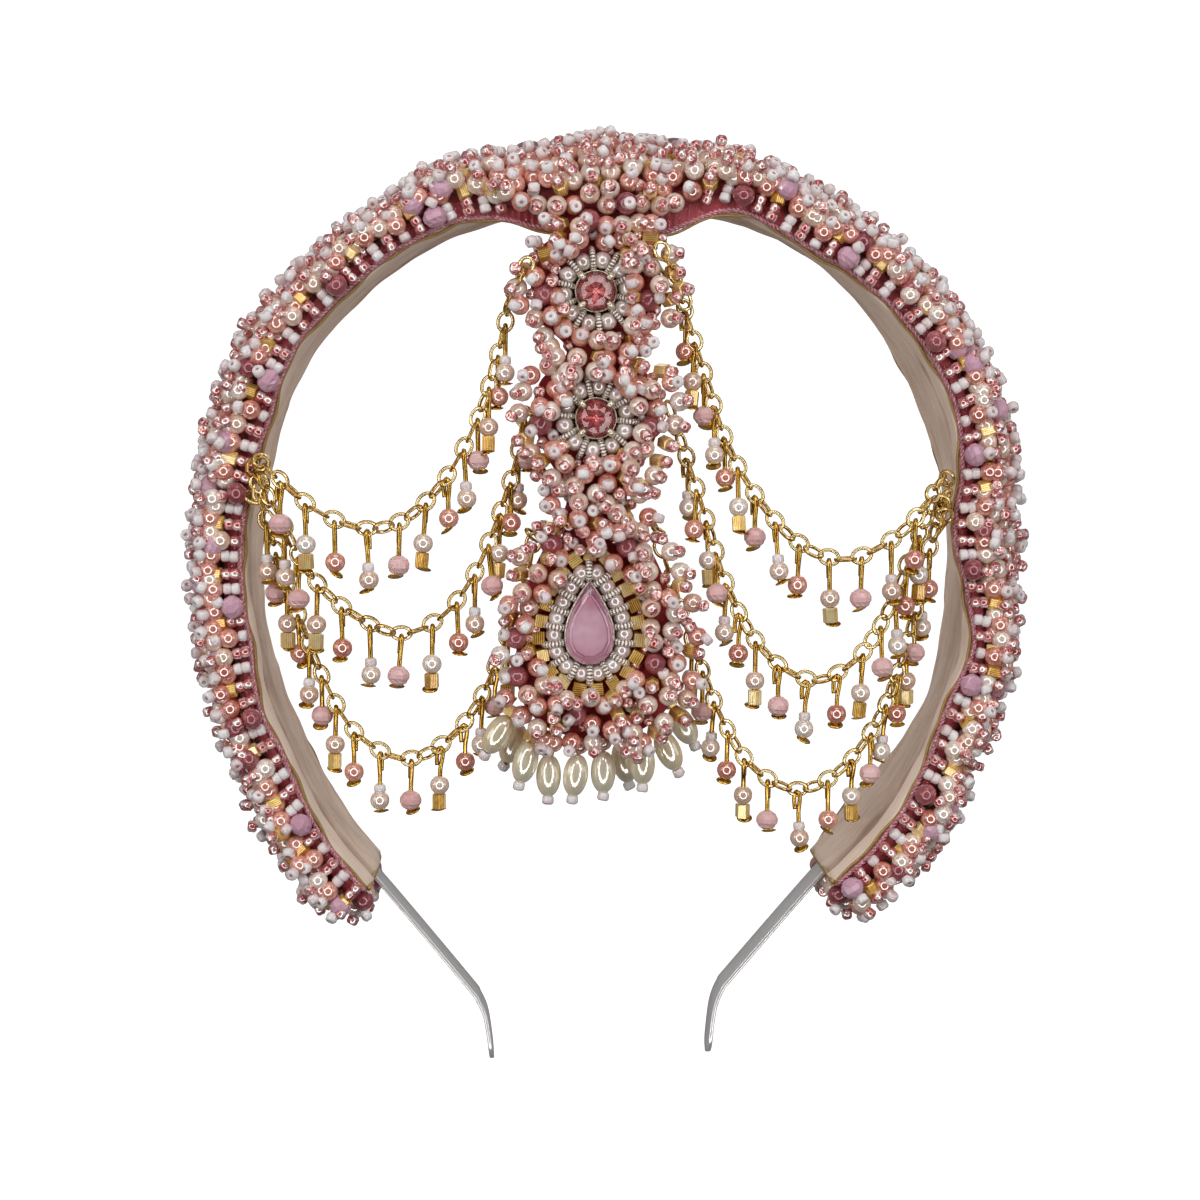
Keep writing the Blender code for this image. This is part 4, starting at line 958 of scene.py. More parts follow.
def build_steel():
    """Flat strip with rounded edges: the arch and two legs with turned-in, rounded tips."""
    angles = np.linspace(-END_ANGLE + 3, END_ANGLE - 3, 75)
    arch = at(angles, np.zeros(75), LINING_T + 0.3)
    rows = [(r[0], 0.0, r[1]) for r in reversed(LEG_LEFT)] + [tuple(p) for p in arch] + [(r[0], 0.0, r[1]) for r in LEG_RIGHT]
    path, length = smooth_through(rows, 520)
    run = np.linspace(0, length, 520)
    end = np.minimum(run, length - run)
    half = STRIP_W / 2 * np.sqrt(np.clip(1 - (1 - np.clip(end / 3.0, 0, 1)) ** 2, 0.02, 1))
    d = unit(np.gradient(path, axis=0))
    out = np.stack([-d[:, 2], np.zeros(520), d[:, 0]], axis=1)
    corner, section = 0.24, []
    for sy, sh, a0 in ((1, -1, -90), (1, 1, 0), (-1, 1, 90), (-1, -1, 180)):
        for q in np.radians(a0 + np.array([0, 30, 60, 90])):
            section.append((sy, corner * math.cos(q), STRIP_T / 2 + sh * (STRIP_T / 2 - corner) + corner * math.sin(q)))
    pts = np.zeros((520, 16, 3))
    for j, (sy, dy, h) in enumerate(section):
        w = sy * np.maximum(half - corner, 0.02) + dy
        pts[:, j] = path + out * h
        pts[:, j, 1] += w
    faces, uvs = [], []
    for i in range(519):
        for j in range(16):
            k = (j + 1) % 16
            faces.append((i * 16 + j, i * 16 + k, (i + 1) * 16 + k, (i + 1) * 16 + j))
            uvs += [(run[i] * 0.1, j / 16), (run[i] * 0.1, (j + 1) / 16), (run[i + 1] * 0.1, (j + 1) / 16), (run[i + 1] * 0.1, j / 16)]
    for i in (0, 519):
        face = [i * 16 + j for j in range(16)]
        faces.append(tuple(face if i == 0 else reversed(face)))
        uvs += [(0, 0)] * 16
    strip = Batch("satin_strip")
    strip.add((pts.reshape(-1, 3), faces, np.array(uvs), True), np.eye(4))
    obj = strip.build(MATS["steel"])
    bm = bmesh.new()
    bm.from_mesh(obj.data)
    bmesh.ops.recalc_face_normals(bm, faces=bm.faces)
    bm.to_mesh(obj.data)
    bm.free()
    finish_piece(obj, "steel", "steel_band")


# ---- bead gathering ------------------------------------------------------------------------------------
BATCH_SLOTS = {
    "cream": "mixed_beads",
    "rose": "mixed_beads",
    "white": "mixed_beads",
    "crystal": "mixed_beads",
    "gold": "gold_bead",
    "mauve": "mixed_beads",
    "lilac": "mixed_beads",
}


class Beads:
    """The bead batches of one area of the object."""

    def __init__(self, area):
        self.area = area
        self.batches = {}

    def get(self, key):
        if key not in self.batches:
            self.batches[key] = Batch(self.area + "_" + key)
        return self.batches[key]

    def put(self, kind, pos, axis, scale=1.0, tone=None):
        spin = RNG.random() * TAU
        m = frames(pos, axis, spin, scale)
        far = self.area == "band_back"
        if kind == "cream" or kind == "rose":
            self.get(kind).add(T_PEARL_LOW if far else T_PEARL, m, tone)
        elif kind == "ring":
            self.get("ring").add(T_PEARL_S, m, tone)
        elif kind == "white":
            self.get("white").add(T_SEED_LOW if far else T_SEED, m, tone)
        elif kind == "crystal":
            self.get("crystal").add(T_SEED_LOW if far else T_CRYSTAL, m, tone)
        elif kind == "gold":
            self.get("gold").add(T_HEX, m, tone)
        elif kind == "cube":
            self.get("gold").add(T_CUBE, m, tone)
        elif kind == "mauve":
            self.get("mauve").add(T_MAUVE, m, tone)
        elif kind == "lilac":
            self.get("lilac").add(T_ROUND, m, tone)
        elif kind == "pink":
            self.get("pink").add(T_RONDELLE, m, tone)

    def build(self, slots, replaced):
        made = []
        for key, batch in self.batches.items():
            obj = finish_piece(batch.build(MATS[key]), slots.get(key, "mixed_beads"))
            made.append(obj)
        if replaced and made:
            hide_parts(*replaced)
        return made


# Bead stacks: base bead, its radius and height, the seed on top, and how common it is.
STACK_COLUMNS = ("base", "radius", "height", "top", "weight")
STACKS = [
    ("cream", 1.68, 3.3, "crystal", 0.30),
    ("rose", 1.68, 3.3, "white", 0.31),
    ("gold", 1.25, 2.5, "crystal", 0.145),
    ("crystal", 1.12, 1.5, "crystal", 0.035),
    ("white", 1.12, 1.5, "white", 0.015),
    ("mauve", 2.0, 3.4, "white", 0.04),
    ("lilac", 2.0, 3.4, "white", 0.05),
]


def pick_kinds(count, rng):
    weights = np.array([s[4] for s in STACKS])
    return rng.choice(len(STACKS), size=count, p=weights / weights.sum())


def relax(xy, radius, fixed, fixed_radius, clamp, steps=90, slack=0.03, window=26):
    """Pushes overlapping discs apart; fixed ones stay. clamp keeps the free ones in their area."""
    p = np.concatenate([xy, fixed]) if len(fixed) else xy.copy()
    r = np.concatenate([radius, fixed_radius]) if len(fixed) else radius.copy()
    free = np.arange(len(p)) < len(xy)
    for step in range(steps):
        order = np.argsort(p[:, 0])
        move = np.zeros_like(p)
        for k in range(1, window):
            i, j = order[:-k], order[k:]
            d = p[j] - p[i]
            dist = np.maximum(np.linalg.norm(d, axis=1), 1e-6)
            lap = r[i] + r[j] + slack - dist
            hit = lap > 0
            push = d[hit] / dist[hit][:, None] * lap[hit][:, None]
            fi, fj = free[i[hit]], free[j[hit]]
            share_i = np.where(fi & fj, 0.5, np.where(fi, 1.0, 0.0))
            share_j = np.where(fi & fj, 0.5, np.where(fj, 1.0, 0.0))
            np.add.at(move, i[hit], -push * share_i[:, None])
            np.add.at(move, j[hit], push * share_j[:, None])
        p[free] += move[free] * 0.55
        p[: len(xy)] = clamp(p[: len(xy)])
    # worst remaining overlap of each free disc
    worst = np.zeros(len(p))
    order = np.argsort(p[:, 0])
    for k in range(1, window):
        i, j = order[:-k], order[k:]
        dist = np.linalg.norm(p[j] - p[i], axis=1)
        lap = r[i] + r[j] - dist
        later = np.maximum(i, j)
        np.maximum.at(worst, np.where(free[later], later, np.minimum(i, j)), lap)
    return p[: len(xy)], worst[: len(xy)]


def gaps(discs, radii, candidates, room, rng):
    """Places left empty among discs: candidates at least room away from every disc and from each other."""
    pts, rad = list(discs), list(radii)
    found = []
    pts_a, rad_a = np.array(pts), np.array(rad)
    for k in rng.permutation(len(candidates)):
        c = candidates[k]
        if np.min(np.hypot(pts_a[:, 0] - c[0], pts_a[:, 1] - c[1]) - rad_a) > room:
            found.append(c)
            pts_a = np.vstack([pts_a, c])
            rad_a = np.append(rad_a, room)
    return np.array(found).reshape(-1, 2)


def put_column(beads, base, normal, rng):
    """A low column of two or three seeds that fills a gap."""
    n = unit(normal)
    kind = "crystal" if rng.random() < 0.72 else "white"
    rise = 0.75
    for k in range(2 + int(rng.random() < 0.2)):
        beads.put(kind, base + n * rise, tilt(n, 12)[0])
        rise += 1.5
        kind = kind if rng.random() < 0.6 else ("white" if kind == "crystal" else "crystal")


def put_stack(beads, kind, base, normal, lift=0.0, rng=RNG, lean_seed=26):
    """A sewn stack: the base bead, and a seed on top of it."""
    name, _, height, top, _ = STACKS[kind]
    n = unit(normal)
    half = height / 2
    beads.put(name, base + n * (lift + half), n if name not in ("cream", "rose") else tilt(n, 8)[0])
    seed_axis = tilt(n, lean_seed)[0]
    if rng.random() < 0.4:  # the top seed often lies on its side
        side = unit(np.cross(n, rng.normal(size=3)))
        seed_axis = tilt(side, 15)[0]
    rise = 0.62 if name in ("cream", "rose") else 0.74
    if name in ("mauve", "lilac"):
        rise = 0.75
    beads.put(top, base + n * (lift + height + rise) + tilt(n, 30)[0] * 0.12, seed_axis)


# ---- beads of the band ---------------------------------------------------------------------------------
# Edge strands: beads from the hem up the side of the pad. The repeat is listed.
STRANDS = [
    ("crystal", "crystal", "gold", "+crystal"),
    ("white", "white", "rose", "+white"),
    ("crystal", "crystal", "cream", "+crystal"),
    ("white", "rose", "+white"),
    ("crystal", "crystal", "gold", "+crystal"),
    ("lilac", "+white"),
    ("white", "white", "rose", "+white"),
    ("crystal", "crystal", "gold", "+crystal"),
    ("white", "white", "rose", "+white"),
    ("crystal", "cream", "+crystal"),
    ("crystal", "crystal", "gold", "+crystal"),
    ("white", "white", "cream", "+crystal"),
    ("mauve", "+crystal"),
    ("crystal", "crystal", "rose", "+white"),
]
BEAD_LENGTH = {"crystal": 1.42, "white": 1.40, "gold": 2.55, "rose": 3.15, "cream": 3.15, "lilac": 3.4, "mauve": 3.4}
BEAD_RADIUS = {"crystal": 1.0, "white": 1.0, "gold": 1.12, "rose": 1.6, "cream": 1.6, "lilac": 1.95, "mauve": 1.95}


def edge_point(angle, s, reach, back):
    """Centre of a bead of a strand: s up from the hem, reach in front of the pad's face."""
    lean = 0.15 * np.maximum(0.0, np.asarray(s) - 3.4)
    y = (15.75 + reach - lean) if back else (-14.78 - reach + lean)
    return at(angle, y, 0.62 + s)


def edge_strands(beads, back, rng):
    """Strands sewn up the side of the pad along one edge."""
    start = 15.5 if not back else 0.0
    radius = 69.0
    count = 0
    for lo, hi in [(-END_ANGLE + 1.0, -start), (start, END_ANGLE - 1.0)]:
        steps = max(2, int(round((hi - lo) * math.pi / 180 * radius / 2.95)))
        for a in np.linspace(lo, hi, steps):
            strand = STRANDS[count % len(STRANDS)]
            count += 1
            slant = rng.normal() * 0.09
            s = 0.35 if strand[0] not in ("lilac", "mauve") else 0.1
            s += abs(rng.normal()) * 0.15
            push = 0.0
            for bead in strand:
                kind = bead.lstrip("+")
                up = np.array([math.sin(math.radians(a)), 0, math.cos(math.radians(a))])
                along = np.array([up[2], 0, -up[0]])
                out = np.array([0, 1.0 if back else -1.0, 0])
                if bead.startswith("+"):
                    d = unit(up * (0.9 + 0.2 * rng.random()) + out * (0.1 + 0.75 * rng.random()) + along * rng.normal() * 0.22)
                    beads.put(kind, centre + d * (last + 0.66), tilt(d, 35)[0])
                    break
                length = BEAD_LENGTH[kind]
                mid = s + length / 2
                ang = a + math.degrees(slant * mid / radius)
                reach = BEAD_RADIUS[kind] + 0.02 + push
                centre = edge_point(ang, mid, reach, back)
                ahead = edge_point(ang, mid + 0.1, reach, back)
                axis = tilt(ahead - centre, 6)[0]
                if kind in ("rose", "cream") and rng.random() < 0.7:  # threaded outwards, towards the seed
                    axis = tilt(unit(up + out), 12)[0]
                if kind == "gold":
                    beads.get("gold").add(T_HEX, facing(centre, axis, out, rng.normal() * 0.2))
                else:
                    beads.put(kind, centre, axis, 0.96 if kind in ("crystal", "white") else 1.0)
                last = {"gold": 1.2, "rose": 1.6, "cream": 1.6, "lilac": 1.9, "mauve": 1.9}.get(kind, 0.8)
                s += length + 0.02


def from_edge(angle, s, back):
    if not back:
        return s
    i = int(round((angle + END_ANGLE) / (2 * END_ANGLE) * (len(GRID_A) - 1)))
    return HEM_LEN[int(np.clip(i, 0, len(GRID_A) - 1)), -1] - s


def to_plane(angle, length):
    """Flat coordinates for the packing: along the band, and across it from its middle line."""
    i = np.clip((np.asarray(angle) + END_ANGLE) / (2 * END_ANGLE) * (len(GRID_A) - 1), 0, len(GRID_A) - 1)
    x = np.interp(i, np.arange(len(GRID_A)), ALONG)
    out = []
    for k, s in zip(np.round(i).astype(int), np.atleast_1d(length)):
        j = np.interp(s, HEM_LEN[k], np.arange(97))
        out.append(np.interp(j, np.arange(97), OFFSET_LEN[k]) - OFFSET_LEN[k, -1] / 2)
    return np.stack([np.atleast_1d(x), np.array(out)], axis=1)


def from_plane(xy):
    ang = np.interp(xy[:, 0], ALONG, GRID_A)
    k = np.clip(np.round((ang + END_ANGLE) / (2 * END_ANGLE) * (len(GRID_A) - 1)).astype(int), 0, len(GRID_A) - 1)
    length = np.array([np.interp(y + OFFSET_LEN[i, -1] / 2, OFFSET_LEN[i], HEM_LEN[i]) for y, i in zip(xy[:, 1], k)])
    return ang, length


def band_beads():
    rng = np.random.default_rng(23)
    front, back = Beads("band_front"), Beads("band_back")
    edge = Beads("band_edge")
    edge_strands(edge, False, rng)
    edge_strands(edge, True, rng)
    fixed, sizes = np.zeros((0, 2)), np.zeros(0)
    for _, angle, y, radius, _ in CABOCHONS:
        j = np.interp(y, GRID_Y[6:-6], np.arange(6, 91))
        k = int(round((angle + END_ANGLE) / (2 * END_ANGLE) * (len(GRID_A) - 1)))
        s = np.interp(j, np.arange(97), HEM_LEN[k])
        fixed = np.concatenate([fixed, to_plane(np.array([angle]), np.array([s]))])
        sizes = np.concatenate([sizes, [radius + 0.1]])

    half = OFFSET_LEN[:, -1] / 2
    # how far from each edge the stacks start: on the neck they also cover the front face
    neck = np.exp(-((np.abs(GRID_A) / 17.0) ** 6))
    low = -half + 6.0 * (1 - neck) + 3.2 * neck
    high = half - 6.0

    def clamp(p):
        lo = np.interp(p[:, 0], ALONG, low)
        hi = np.interp(p[:, 0], ALONG, high)
        q = p.copy()
        q[:, 1] = np.clip(q[:, 1], lo, hi)
        q[:, 0] = np.clip(q[:, 0], ALONG[0] + 1.2, ALONG[-1] - 1.2)
        return q

    pitch = 2.75
    xs = np.arange(ALONG[0] + 1.5, ALONG[-1] - 1.5, pitch)
    start = []
    for col, x in enumerate(xs):
        lo, hi = np.interp(x, ALONG, low), np.interp(x, ALONG, high)
        n = int((hi - lo) / (pitch * 0.90)) + 1
        for y in np.linspace(lo, hi, n) + (0.5 * pitch if col % 2 else 0.0):
            if y < hi + 0.6:
                start.append((x, y))
    start = np.array(start) + rng.normal(size=(len(start), 2)) * 0.35
    kinds = pick_kinds(len(start), rng)
    radii = np.array([STACKS[k][1] for k in kinds])
    xy, worst = relax(clamp(start), radii, fixed, sizes, clamp)
    keep = worst < 1.25
    xy, kinds, worst = xy[keep], kinds[keep], worst[keep]
    everything = np.concatenate([xy, fixed])
    every_r = np.concatenate([np.array([STACKS[k][1] for k in kinds]), sizes])
    cx, cy = np.meshgrid(np.arange(ALONG[0] + 1.5, ALONG[-1] - 1.5, 1.1), np.arange(-18, 18, 1.0))
    cand = np.stack([cx.ravel(), cy.ravel()], axis=1)
    inside = (cand[:, 1] > np.interp(cand[:, 0], ALONG, low) - 0.3) & (cand[:, 1] < np.interp(cand[:, 0], ALONG, high) + 0.3)
    holes = gaps(everything, every_r, cand[inside], 0.72, rng)
    ang, length = from_plane(holes)
    hp, hn, _, _ = on_pad(ang, length)
    for q, d in zip(hp, hn):
        put_column(front if q[1] < 0.5 else back, q, tilt(d, 10, rng)[0], rng)
    ang, length = from_plane(xy)
    p, n, across, along = on_pad(ang, length)
    for k in range(len(p)):
        if kinds[k] == 6 and abs(ang[k]) < 17:
            kinds[k] = 1
        normal = tilt(n[k], 9, rng)[0]
        lift = 0.05 + 1.1 * rng.random() ** 2.2
        small = kinds[k] in (3, 4)
        if any(abs(ang[k] - c[1]) < 7.0 and -9.0 < p[k][1] - c[2] < 6.0 for c in CABOCHONS):
            lift, small = 0.0, False
            if any(abs(ang[k] - c[1]) < 3.6 and -10.0 < p[k][1] - c[2] < 0.0 for c in CABOCHONS):
                kinds[k] = 3 if rng.random() < 0.6 else 4
        if small:
            lift += 1.4 if rng.random() < 0.5 else 0.3
        elif worst[k] > 0.4:
            lift += 1.3
        target = front if p[k][1] < 0.5 else back
        put_stack(target, kinds[k], p[k], normal, lift, rng)
        if small and lift > 1.2:
            target.put(STACKS[kinds[k]][0], p[k] + n[k] * 0.75, tilt(n[k], 20)[0])
    # the two ends of the arch
    for sign in (-1, 1):
        a = sign * END_ANGLE
        up = np.array([math.sin(math.radians(a)), 0, math.cos(math.radians(a))])
        beyond = np.array([up[2], 0, -up[0]]) * sign
        for share, count in ((0.55, 8), (0.98, 8)):
            for y in np.linspace(-12.0, 13.0, count) + (1.5 if share > 0.7 else 0.0):
                p0 = at(np.array(a), np.array(y), pad_height(a, 1.0) * share)
                d = unit(beyond * (1.0 - 0.4 * share) + up * (0.2 + 0.8 * share) + np.array([0, y / 40.0, 0]))
                kind = int(rng.choice([0, 1, 1, 2]) if share > 0.7 else rng.choice([0, 1, 3, 5]))
                if y < -11.0 and share < 0.7:
                    kind = 5
                put_stack(edge, kind, p0 + d * 0.1, d, 0.0, rng)
    edge.build(BATCH_SLOTS, [])
    front.build(BATCH_SLOTS, ["band_bead_crust"])
    back.build(BATCH_SLOTS, [])


# ---- the pendant ---------------------------------------------------------------------------------------


def half_width(z):
    fine, _ = smooth_through([(h, zz) for zz, h in FELT], 200)
    return np.interp(-np.asarray(z), -fine[:, 1], fine[:, 0])


def pear_curve(outset, count=240):
    """Pear outline with its point up, moved out by a distance, at even steps."""
    t = TAU * (np.arange(count) + 0.5) / count
    s = np.abs(np.sin(t / 2))
    x, z = PEAR_A * np.sin(t) * s, PEAR_B * np.cos(t)
    e = 1e-4
    x2, z2 = PEAR_A * np.sin(t + e) * np.abs(np.sin((t + e) / 2)), PEAR_B * np.cos(t + e)
    d = np.hypot(x2 - x, z2 - z)
    nx, nz = -(z2 - z) / d, (x2 - x) / d
    pts = np.stack([PEAR_X + x + nx * outset, PEAR_Z + z + nz * outset], axis=1)
    if outset > 0.2:
        a0 = math.atan2(nx[0], nz[0])
        arc = np.linspace(-a0, a0, 24)[1:-1]
        tip = np.stack([PEAR_X + np.sin(arc) * outset, PEAR_Z + PEAR_B + np.cos(arc) * outset], axis=1)
        if a0 > 0:
            pts = np.concatenate([tip, pts])
    return pts


def even_steps(curve, count, shift=0.0):
    """Points at even distances round a closed curve, and the outward direction at each."""
    closed = np.concatenate([curve, curve[:1]])
    run = np.concatenate([[0], np.cumsum(np.linalg.norm(np.diff(closed, axis=0), axis=1))])
    where = ((np.arange(count) + shift) / count * run[-1]) % run[-1]
    p = np.stack([np.interp(where, run, closed[:, k]) for k in (0, 1)], axis=1)
    q = np.stack([np.interp((where + 0.05) % run[-1], run, closed[:, k]) for k in (0, 1)], axis=1)
    d = unit(q - p)
    return p, np.stack([d[:, 1], -d[:, 0]], axis=1) * (1 if _clockwise(curve) < 0 else -1), run[-1]


def _clockwise(curve):
    x, z = curve[:, 0], curve[:, 1]
    return np.sum(x * np.roll(z, -1) - np.roll(x, -1) * z)


def bullion(beads, mid, out, inner, outer, rise, base_y, thick=0.45):
    """Short length of corrugated wire that arches over the ring of pearls."""
    t = np.linspace(0, math.pi, 53)
    r = (inner + outer) / 2 - (outer - inner) / 2 * np.cos(t) * (0.75 + 0.25 * np.abs(np.cos(t)))
    rows = np.stack([mid[0] + out[0] * r, base_y - rise * np.sin(t) ** 0.6, mid[1] + out[1] * r], axis=1)
    path, length = smooth_through(rows, 61)
    ribs = 15
    rad = thick + 0.10 * np.cos(TAU * np.arange(61) / 4)
    beads.get("bullion").add(tube(path, rad, 7, v_scale=ribs / length), np.eye(4))


def build_pendant():
    rng = np.random.default_rng(5)
    beads = Beads("pendant")
    base_y = FELT_FRONT_Y
    fixed, fixed_r = [], []
    # rings of pearls with wire loops round the two round stones
    for label, cx, cz in ROUND_STONES:
        ring = Beads("ring_" + label)
        for k in range(10):
            a = TAU * (k + (0.15 if label == "upper" else 0.35)) / 10
            p = np.array([cx + RING_R * math.cos(a), base_y - PEARL_R - 0.05, cz + RING_R * math.sin(a)])
            tangent = np.array([-math.sin(a), 0, math.cos(a)])
            ring.put("ring", p, tangent)
            b = a + TAU / 20
            bullion(ring, (cx, cz), (math.cos(b), math.sin(b)), 3.75, 7.15, 2.75, base_y - 0.1)
            fixed.append((p[0], p[2]))
            fixed_r.append(1.55)
            fixed.append((cx + 6.6 * math.cos(b), cz + 6.6 * math.sin(b)))
            fixed_r.append(0.45)
        ring.build({"ring": "grey_pearl", "bullion": "grey_pearl"}, ["pearl_ring_" + label])
    # the pear's ring of pearls and of gold cubes
    ring = Beads("ring_lower")
    curve = pear_curve(1.78)
    p, out, length = even_steps(curve, 16, 0.0)
    q, out_q, _ = even_steps(curve, 16, 0.5)
    for (x, z), (ox, oz) in zip(p, out):
        ring.put("ring", np.array([x, base_y - PEARL_R - 0.05, z]), np.array([oz, 0, -ox]))
        fixed.append((x, z))
        fixed_r.append(1.5)
    for (x, z), (ox, oz) in zip(q, out_q):
        bullion(ring, (x, z), (ox, oz), -1.8, 1.8, 2.85, base_y - 0.1, 0.55)
    ring.build({"ring": "grey_pearl", "bullion": "grey_pearl"}, ["pearl_ring_lower"])
    cubes = Beads("cube_ring")
    p, out, _ = even_steps(pear_curve(4.45), 21, 0.3)
    for (x, z), (ox, oz) in zip(p, out):
        axis = tilt(np.array([oz, 0, -ox]), 5)[0]
        cubes.get("gold").add(T_CUBE, facing(np.array([x, base_y - 1.1, z]), axis, (0.0, -1.0, 0.0), rng.normal() * 0.16, 0.98 + 0.10 * rng.random()))
        fixed.append((x, z))
        fixed_r.append(1.25)
    cubes.build({"gold": "gold_bead"}, ["gold_cube_ring"])

    # mauve rounds at the listed places
    for x, z in MAUVES:
        p = np.array([x, base_y - 1.75, z])
        beads.put("mauve", p, tilt(np.array([0, -1.0, 0]), 30)[0])
        d = unit(np.array([x - PENDANT_X, -6.0, rng.normal() * 6.0]))
        beads.put("white", p + d * 2.35, tilt(d, 30)[0])
        fixed.append((x, z))
        fixed_r.append(1.95)

    # short strands at the two upper corners
    for x, z, slope, kinds in CORNERS:
        d = np.array([math.cos(math.radians(slope)), 0.0, math.sin(math.radians(slope))])
        s = 0.0
        for kind in kinds:
            length = 2.55 if kind == "gold" else 1.55
            q = np.array([x, base_y - 1.5, z]) + d * (s + length / 2)
            if kind == "gold":
                beads.get("gold").add(T_HEX, facing(q, d, (0.0, -1.0, 0.0), 0.1))
            else:
                beads.put(kind, q, d, 0.92)
            fixed.append((q[0], q[2]))
            fixed_r.append(1.2)
            s += length + 0.04

    fixed, fixed_r = np.array(fixed), np.array(fixed_r)
    pear_in = pear_curve(4.45)

    def clamp(xz):
        r = xz.copy()
        r[:, 1] = np.clip(r[:, 1], -90.0, -3.6)
        hw = half_width(r[:, 1]) + 0.15
        r[:, 0] = PENDANT_X + np.clip(r[:, 0] - PENDANT_X, -hw, hw)
        return r

    def inside_pear(xz):
        a = np.arctan2(pear_in[:, 0] - PEAR_X, pear_in[:, 1] - PEAR_Z + 2.0)
        rr = np.hypot(pear_in[:, 0] - PEAR_X, pear_in[:, 1] - PEAR_Z + 2.0)
        o = np.argsort(a)
        b = np.arctan2(xz[:, 0] - PEAR_X, xz[:, 1] - PEAR_Z + 2.0)
        return np.hypot(xz[:, 0] - PEAR_X, xz[:, 1] - PEAR_Z + 2.0) < np.interp(b, a[o], rr[o], period=TAU) + 0.6

    pitch = 2.45
    start = []
    for row, z in enumerate(np.arange(-3.6, -90.6, -pitch * 0.88)):
        hw = float(half_width(z)) + 0.1
        n = max(2, int(round(2 * hw / pitch)) + 1)
        for x in np.linspace(PENDANT_X - hw, PENDANT_X + hw, n):
            start.append((x + (0.3 * pitch if row % 2 else -0.3 * pitch), z))
    start = np.array(start) + rng.normal(size=(len(start), 2)) * 0.25
    start = clamp(start)
    bad = inside_pear(start)
    for _, cx, cz in ROUND_STONES:
        bad |= np.hypot(start[:, 0] - cx, start[:, 1] - cz) < RING_R + 1.9
    start = start[~bad]
    kinds = pick_kinds(len(start), rng)
    kinds = np.where(np.isin(kinds, (5, 6)), rng.integers(0, 2, len(start)), kinds)
    radii = np.array([STACKS[k][1] for k in kinds])
    xz, worst = relax(start, radii, fixed, fixed_r, clamp, steps=120)
    bad = inside_pear(xz)
    for _, cx, cz in ROUND_STONES:
        bad |= np.hypot(xz[:, 0] - cx, xz[:, 1] - cz) < RING_R + 1.2
    keep = (worst < 1.3) & ~bad
    xz, kinds, worst = xz[keep], kinds[keep], worst[keep]
    gx, gz = np.meshgrid(np.arange(-17, 16, 1.0), np.arange(-90, -3, 1.0))
    cand = np.stack([gx.ravel(), gz.ravel()], axis=1)
    inside = (np.abs(cand[:, 0] - PENDANT_X) < half_width(cand[:, 1]) + 0.2) & ~inside_pear(cand)
    for _, cx, cz in ROUND_STONES:
        inside &= np.hypot(cand[:, 0] - cx, cand[:, 1] - cz) > RING_R + 1.2
    holes = gaps(np.concatenate([xz, fixed]), np.concatenate([np.array([STACKS[k][1] for k in kinds]), fixed_r]), cand[inside], 0.50, rng)
    # a last layer of low seeds in what is still bare
    gx, gz = np.meshgrid(np.arange(-17, 16, 0.45), np.arange(-90, -3, 0.45))
    cand = np.stack([gx.ravel(), gz.ravel()], axis=1)
    inside = (np.abs(cand[:, 0] - PENDANT_X) < half_width(cand[:, 1]) - 0.4) & ~inside_pear(cand)
    for _, cx, cz in ROUND_STONES:
        inside &= np.hypot(cand[:, 0] - cx, cand[:, 1] - cz) > RING_R + 1.8
    taken = np.concatenate([xz, fixed] + ([holes] if len(holes) else []))
    taken_r = np.concatenate([np.array([STACKS[k][1] for k in kinds]), fixed_r, np.full(len(holes), 1.0)])
    low = gaps(taken, taken_r, cand[inside], 0.16, rng)
    apart = []
    for c in low:
        if all(np.hypot(*(c - d)) > 1.5 for d in apart):
            apart.append(c)
    for x, z in apart:
        kind = "crystal" if rng.random() < 0.85 else "white"
        beads.put(kind, np.array([x, base_y - 0.7 - 0.3 * rng.random(), z]), tilt(np.array([0, -1.0, 0]), 35, rng)[0], 0.95)
    for x, z in holes:
        kind = "crystal" if rng.random() < 0.8 else "white"
        for k in range(1 + int(rng.random() < 0.35)):
            beads.put(kind, np.array([x, base_y - 0.8 - 1.5 * k, z]), tilt(np.array([0, -1.0, 0]), 20, rng)[0])
    for (x, z), kind, crowd in zip(xz, kinds, worst):
        hw = float(half_width(z))
        near = np.clip((abs(x - PENDANT_X) - (hw - 3.0)) / 3.0, 0, 1)
        below = np.clip((-84.0 - z) / 5.0, 0, 1)
        lean = np.array([np.sign(x - PENDANT_X) * 0.62 * near, -1.0, -0.6 * below + rng.normal() * 0.12])
        lean[0] += rng.normal() * 0.16
        lean[2] -= 0.08
        small = kind in (3, 4)
        lift = 0.05 + 0.3 * rng.random() + (1.2 if small and rng.random() < 0.5 else 0.0)
        if crowd > 0.4:
            lift += 1.4
        put_stack(beads, int(kind), np.array([x, base_y, z]), lean, lift, rng)
    beads.build(BATCH_SLOTS, ["crust_upper", "crust_middle", "crust_lower"])


def felt_outline(count, inset=0.0):
    """Closed outline of the felt, (x, z)."""
    fine, _ = smooth_through([(h, z) for z, h in FELT], count)
    right = np.stack([PENDANT_X + fine[:, 0] - inset, fine[:, 1]], axis=1)
    left = np.stack([PENDANT_X - fine[:, 0] + inset, fine[:, 1]], axis=1)[::-1]
    return np.concatenate([right, left])


